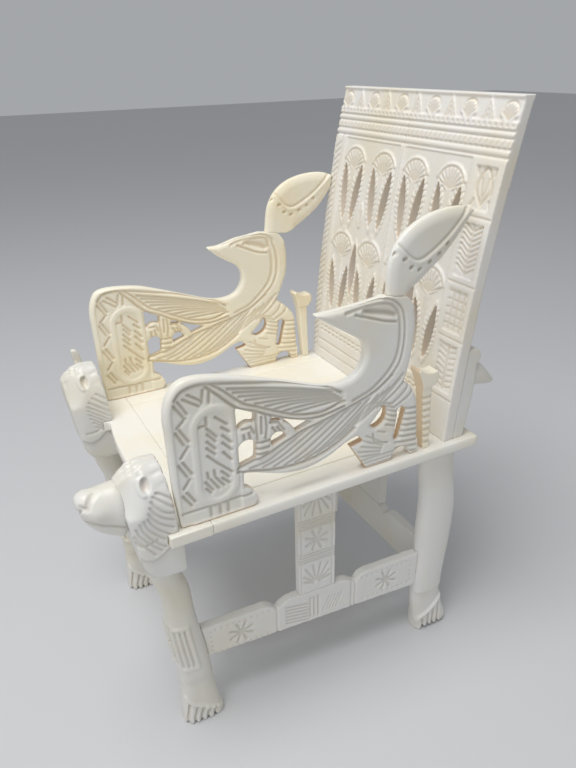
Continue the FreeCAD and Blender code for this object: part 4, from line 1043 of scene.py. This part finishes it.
def bone(name, colour, crevice, grain_axis, tint=0.75):
    """Polished bone: a slow change of tone, fine grain, painted shade with a warm patina in the
    crevices, and brown for old glue stains and for painted shade.
    """
    material = bpy.data.materials.new(name)
    material.use_nodes = True
    tree = material.node_tree

    def link(source, output, target, entry):
        tree.links.new(source.outputs[output], target.inputs[entry])

    shader = tree.nodes["Principled BSDF"]
    set_inputs(shader, polish)
    place = node_of(tree, "ShaderNodeTexCoord")

    cloud = node_of(tree, "ShaderNodeTexNoise", cloud_look)
    link(place, "Object", cloud, "Vector")
    scale = [grain_across] * 3
    scale[grain_axis] = grain_along
    stretch = node_of(tree, "ShaderNodeMapping", {"Scale": scale})
    link(place, "Object", stretch, "Vector")
    grain = node_of(tree, "ShaderNodeTexNoise", grain_look)
    link(stretch, "Vector", grain, "Vector")

    cloudy = tuple(level * share for level, share in zip(colour, cloud_tint))
    tone = node_of(tree, "ShaderNodeMix", {"A": (*colour, 1), "B": (*cloudy, 1)},
                   data_type="RGBA")
    spread = node_of(tree, "ShaderNodeMapRange", cloud_span)
    link(cloud, "Fac", spread, "Value")
    link(spread, "Result", tone, "Factor")

    # Painted shade with a patina: the deeper a groove, the more of the crevice colour
    cut = node_of(tree, "ShaderNodeAttribute", attribute_name="cut")
    deep = node_of(tree, "ShaderNodeMapRange", {"From Min": crevice_start,
                                                "From Max": crevice_full, "To Max": tint})
    link(cut, "Fac", deep, "Value")
    warm = node_of(tree, "ShaderNodeMix", {"B": (*crevice, 1)}, data_type="RGBA")
    link(tone, "Result", warm, "A")
    link(deep, "Result", warm, "Factor")
    # Brown: old glue stains, and painted shade on opening walls, in ear hollows and on the left
    # post's front
    stain_and_shade = node_of(tree, "ShaderNodeAttribute", attribute_name="stain_and_shade")
    brown = node_of(tree, "ShaderNodeMix", {"B": (*stain_and_shade_colour, 1)}, data_type="RGBA")
    link(warm, "Result", brown, "A")
    link(stain_and_shade, "Fac", brown, "Factor")
    link(brown, "Result", shader, "Base Color")

    bump_node = node_of(tree, "ShaderNodeBump", grain_bump)
    link(grain, "Fac", bump_node, "Height")
    link(bump_node, "Normal", shader, "Normal")
    return material


def add_camera():
    data = bpy.data.cameras.new("camera")
    data.sensor_width = sensor_width
    data.lens = focal_pixels * sensor_width / frame_height_pixels
    data.clip_start, data.clip_end = 0.01, 10.0
    camera = add("camera", data)
    turn = (camera_target - camera_place).to_track_quat("-Z", "Y").to_matrix().to_4x4()
    camera.matrix_world = turn @ Euler((0, 0, camera_roll)).to_matrix().to_4x4()
    camera.location = (camera_place + Vector(seat_origin)) * mm
    bpy.context.scene.camera = camera


# Lamps: place and size in metres, in the row's frame, and watts
lamps = (("key_light", (0.08, -0.2, 0.75), 0.4, 3.4),
         ("fill_light", (0.6, -0.7, 0.5), 0.6, 1.5))
lamp_target = Vector((0, 0, 0.08))
sky_colour, sky_strength = (0.93, 0.96, 1.0, 1), 0.4
floor_half, floor_colour, floor_roughness = 3.0, (0.62, 0.62, 0.63, 1), 0.8


def area_lamp(name, place, size, watts):
    data = bpy.data.lights.new(name, "AREA")
    data.shape, data.size, data.energy = "DISK", size, watts
    lamp = add(name, data)
    lamp.location = place
    lamp.rotation_euler = (lamp_target - Vector(place)).to_track_quat("-Z", "Y").to_euler()


def add_light():
    world = bpy.data.worlds.new("studio")
    bpy.context.scene.world = world
    world.use_nodes = True
    set_inputs(world.node_tree.nodes["Background"],
               {"Color": sky_colour, "Strength": sky_strength})
    for lamp in lamps:
        area_lamp(*lamp)


def add_floor():
    mesh = bpy.data.meshes.new("floor")
    corners = [(across * floor_half, along * floor_half, 0)
               for across, along in ((-1, -1), (1, -1), (1, 1), (-1, 1))]
    mesh.from_pydata(corners, [], [(0, 1, 2, 3)])
    floor = add("floor", mesh)
    material = bpy.data.materials.new("floor")
    material.use_nodes = True
    set_inputs(material.node_tree.nodes["Principled BSDF"],
               {"Base Color": floor_colour, "Roughness": floor_roughness})
    mesh.materials.append(material)


# Kinds of bone: colour, crevices' colour (painted shade with a patina), the axis of the grain and
# how far crevices tint
main_bone = bone("bone", (0.745, 0.735, 0.7), (0.5, 0.45, 0.36), 2, 0.6)
# Painted shade: a greyer copy of the bone, darker than the cream one and with darker crevices, for
# the left arm and crown
arm_bone_shaded = bone("bone_arm_shaded", (0.81, 0.795, 0.745), (0.36, 0.31, 0.22), 1, 0.85)
seat_bone = bone("bone_seat", (0.86, 0.84, 0.775), (0.62, 0.5, 0.31), 1)
# A cream tone, made brighter as painted light for the seat's bounce; for the right arm, its crown
# and the posts
cream_bone_lit = bone("bone_cream", (0.91, 0.85, 0.7), (0.6, 0.42, 0.2), 1, 0.6)
back_bone = bone("bone_back", (0.79, 0.76, 0.71), (0.6, 0.46, 0.27), 2, 0.85)
for name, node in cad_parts.items():
    node.data.materials.clear()
    node.data.materials.append(main_bone)

for side, way in (("left", 1), ("right", -1)):
    # The left arm wears the copy with painted shade, the right one the brighter cream copy with
    # painted light
    material = arm_bone_shaded if way > 0 else cream_bone_lit
    make_arm(side, material)
    make_crown(side, material)
    make_post(side, cream_bone_lit)
    make_head(side, way * lion_axis, main_bone)
    make_front_leg(side, way * lion_axis, 0 if way > 0 else right_leg_offset, main_bone)
    make_rear_leg(side, way * rear_leg_axis, main_bone)
    make_back(side, back_bone)
    make_board("side_stretcher_" + side, "rail_" + side, way * X, draw_rail, main_bone)
    make_board("side_strut_" + side, "strut_" + side, way * X, draw_strut, main_bone)
    plain("strut_cleat_" + side, "cleat_" + side, cleat_cell, main_bone)
    plain("seat_side_strip_" + side, "seat_side_" + side, plain_cell, seat_bone)
    plain("seat_plank_" + side, "seat_board_" + side, plain_cell, seat_bone)
    plain("rear_post_" + side, "rear_head_" + side, rear_head_cell, main_bone, 2)
make_muzzle(main_bone)
make_board("rear_stretcher", "rail_rear", Y, draw_rail, main_bone)
make_board("rear_strut", "strut_rear", Y, draw_strut, main_bone)
plain("seat_front_strip", "seat_front", seat_front_cell, seat_bone)

add_camera()
add_light()
add_floor()
bpy.context.scene.view_settings.view_transform = "Standard"
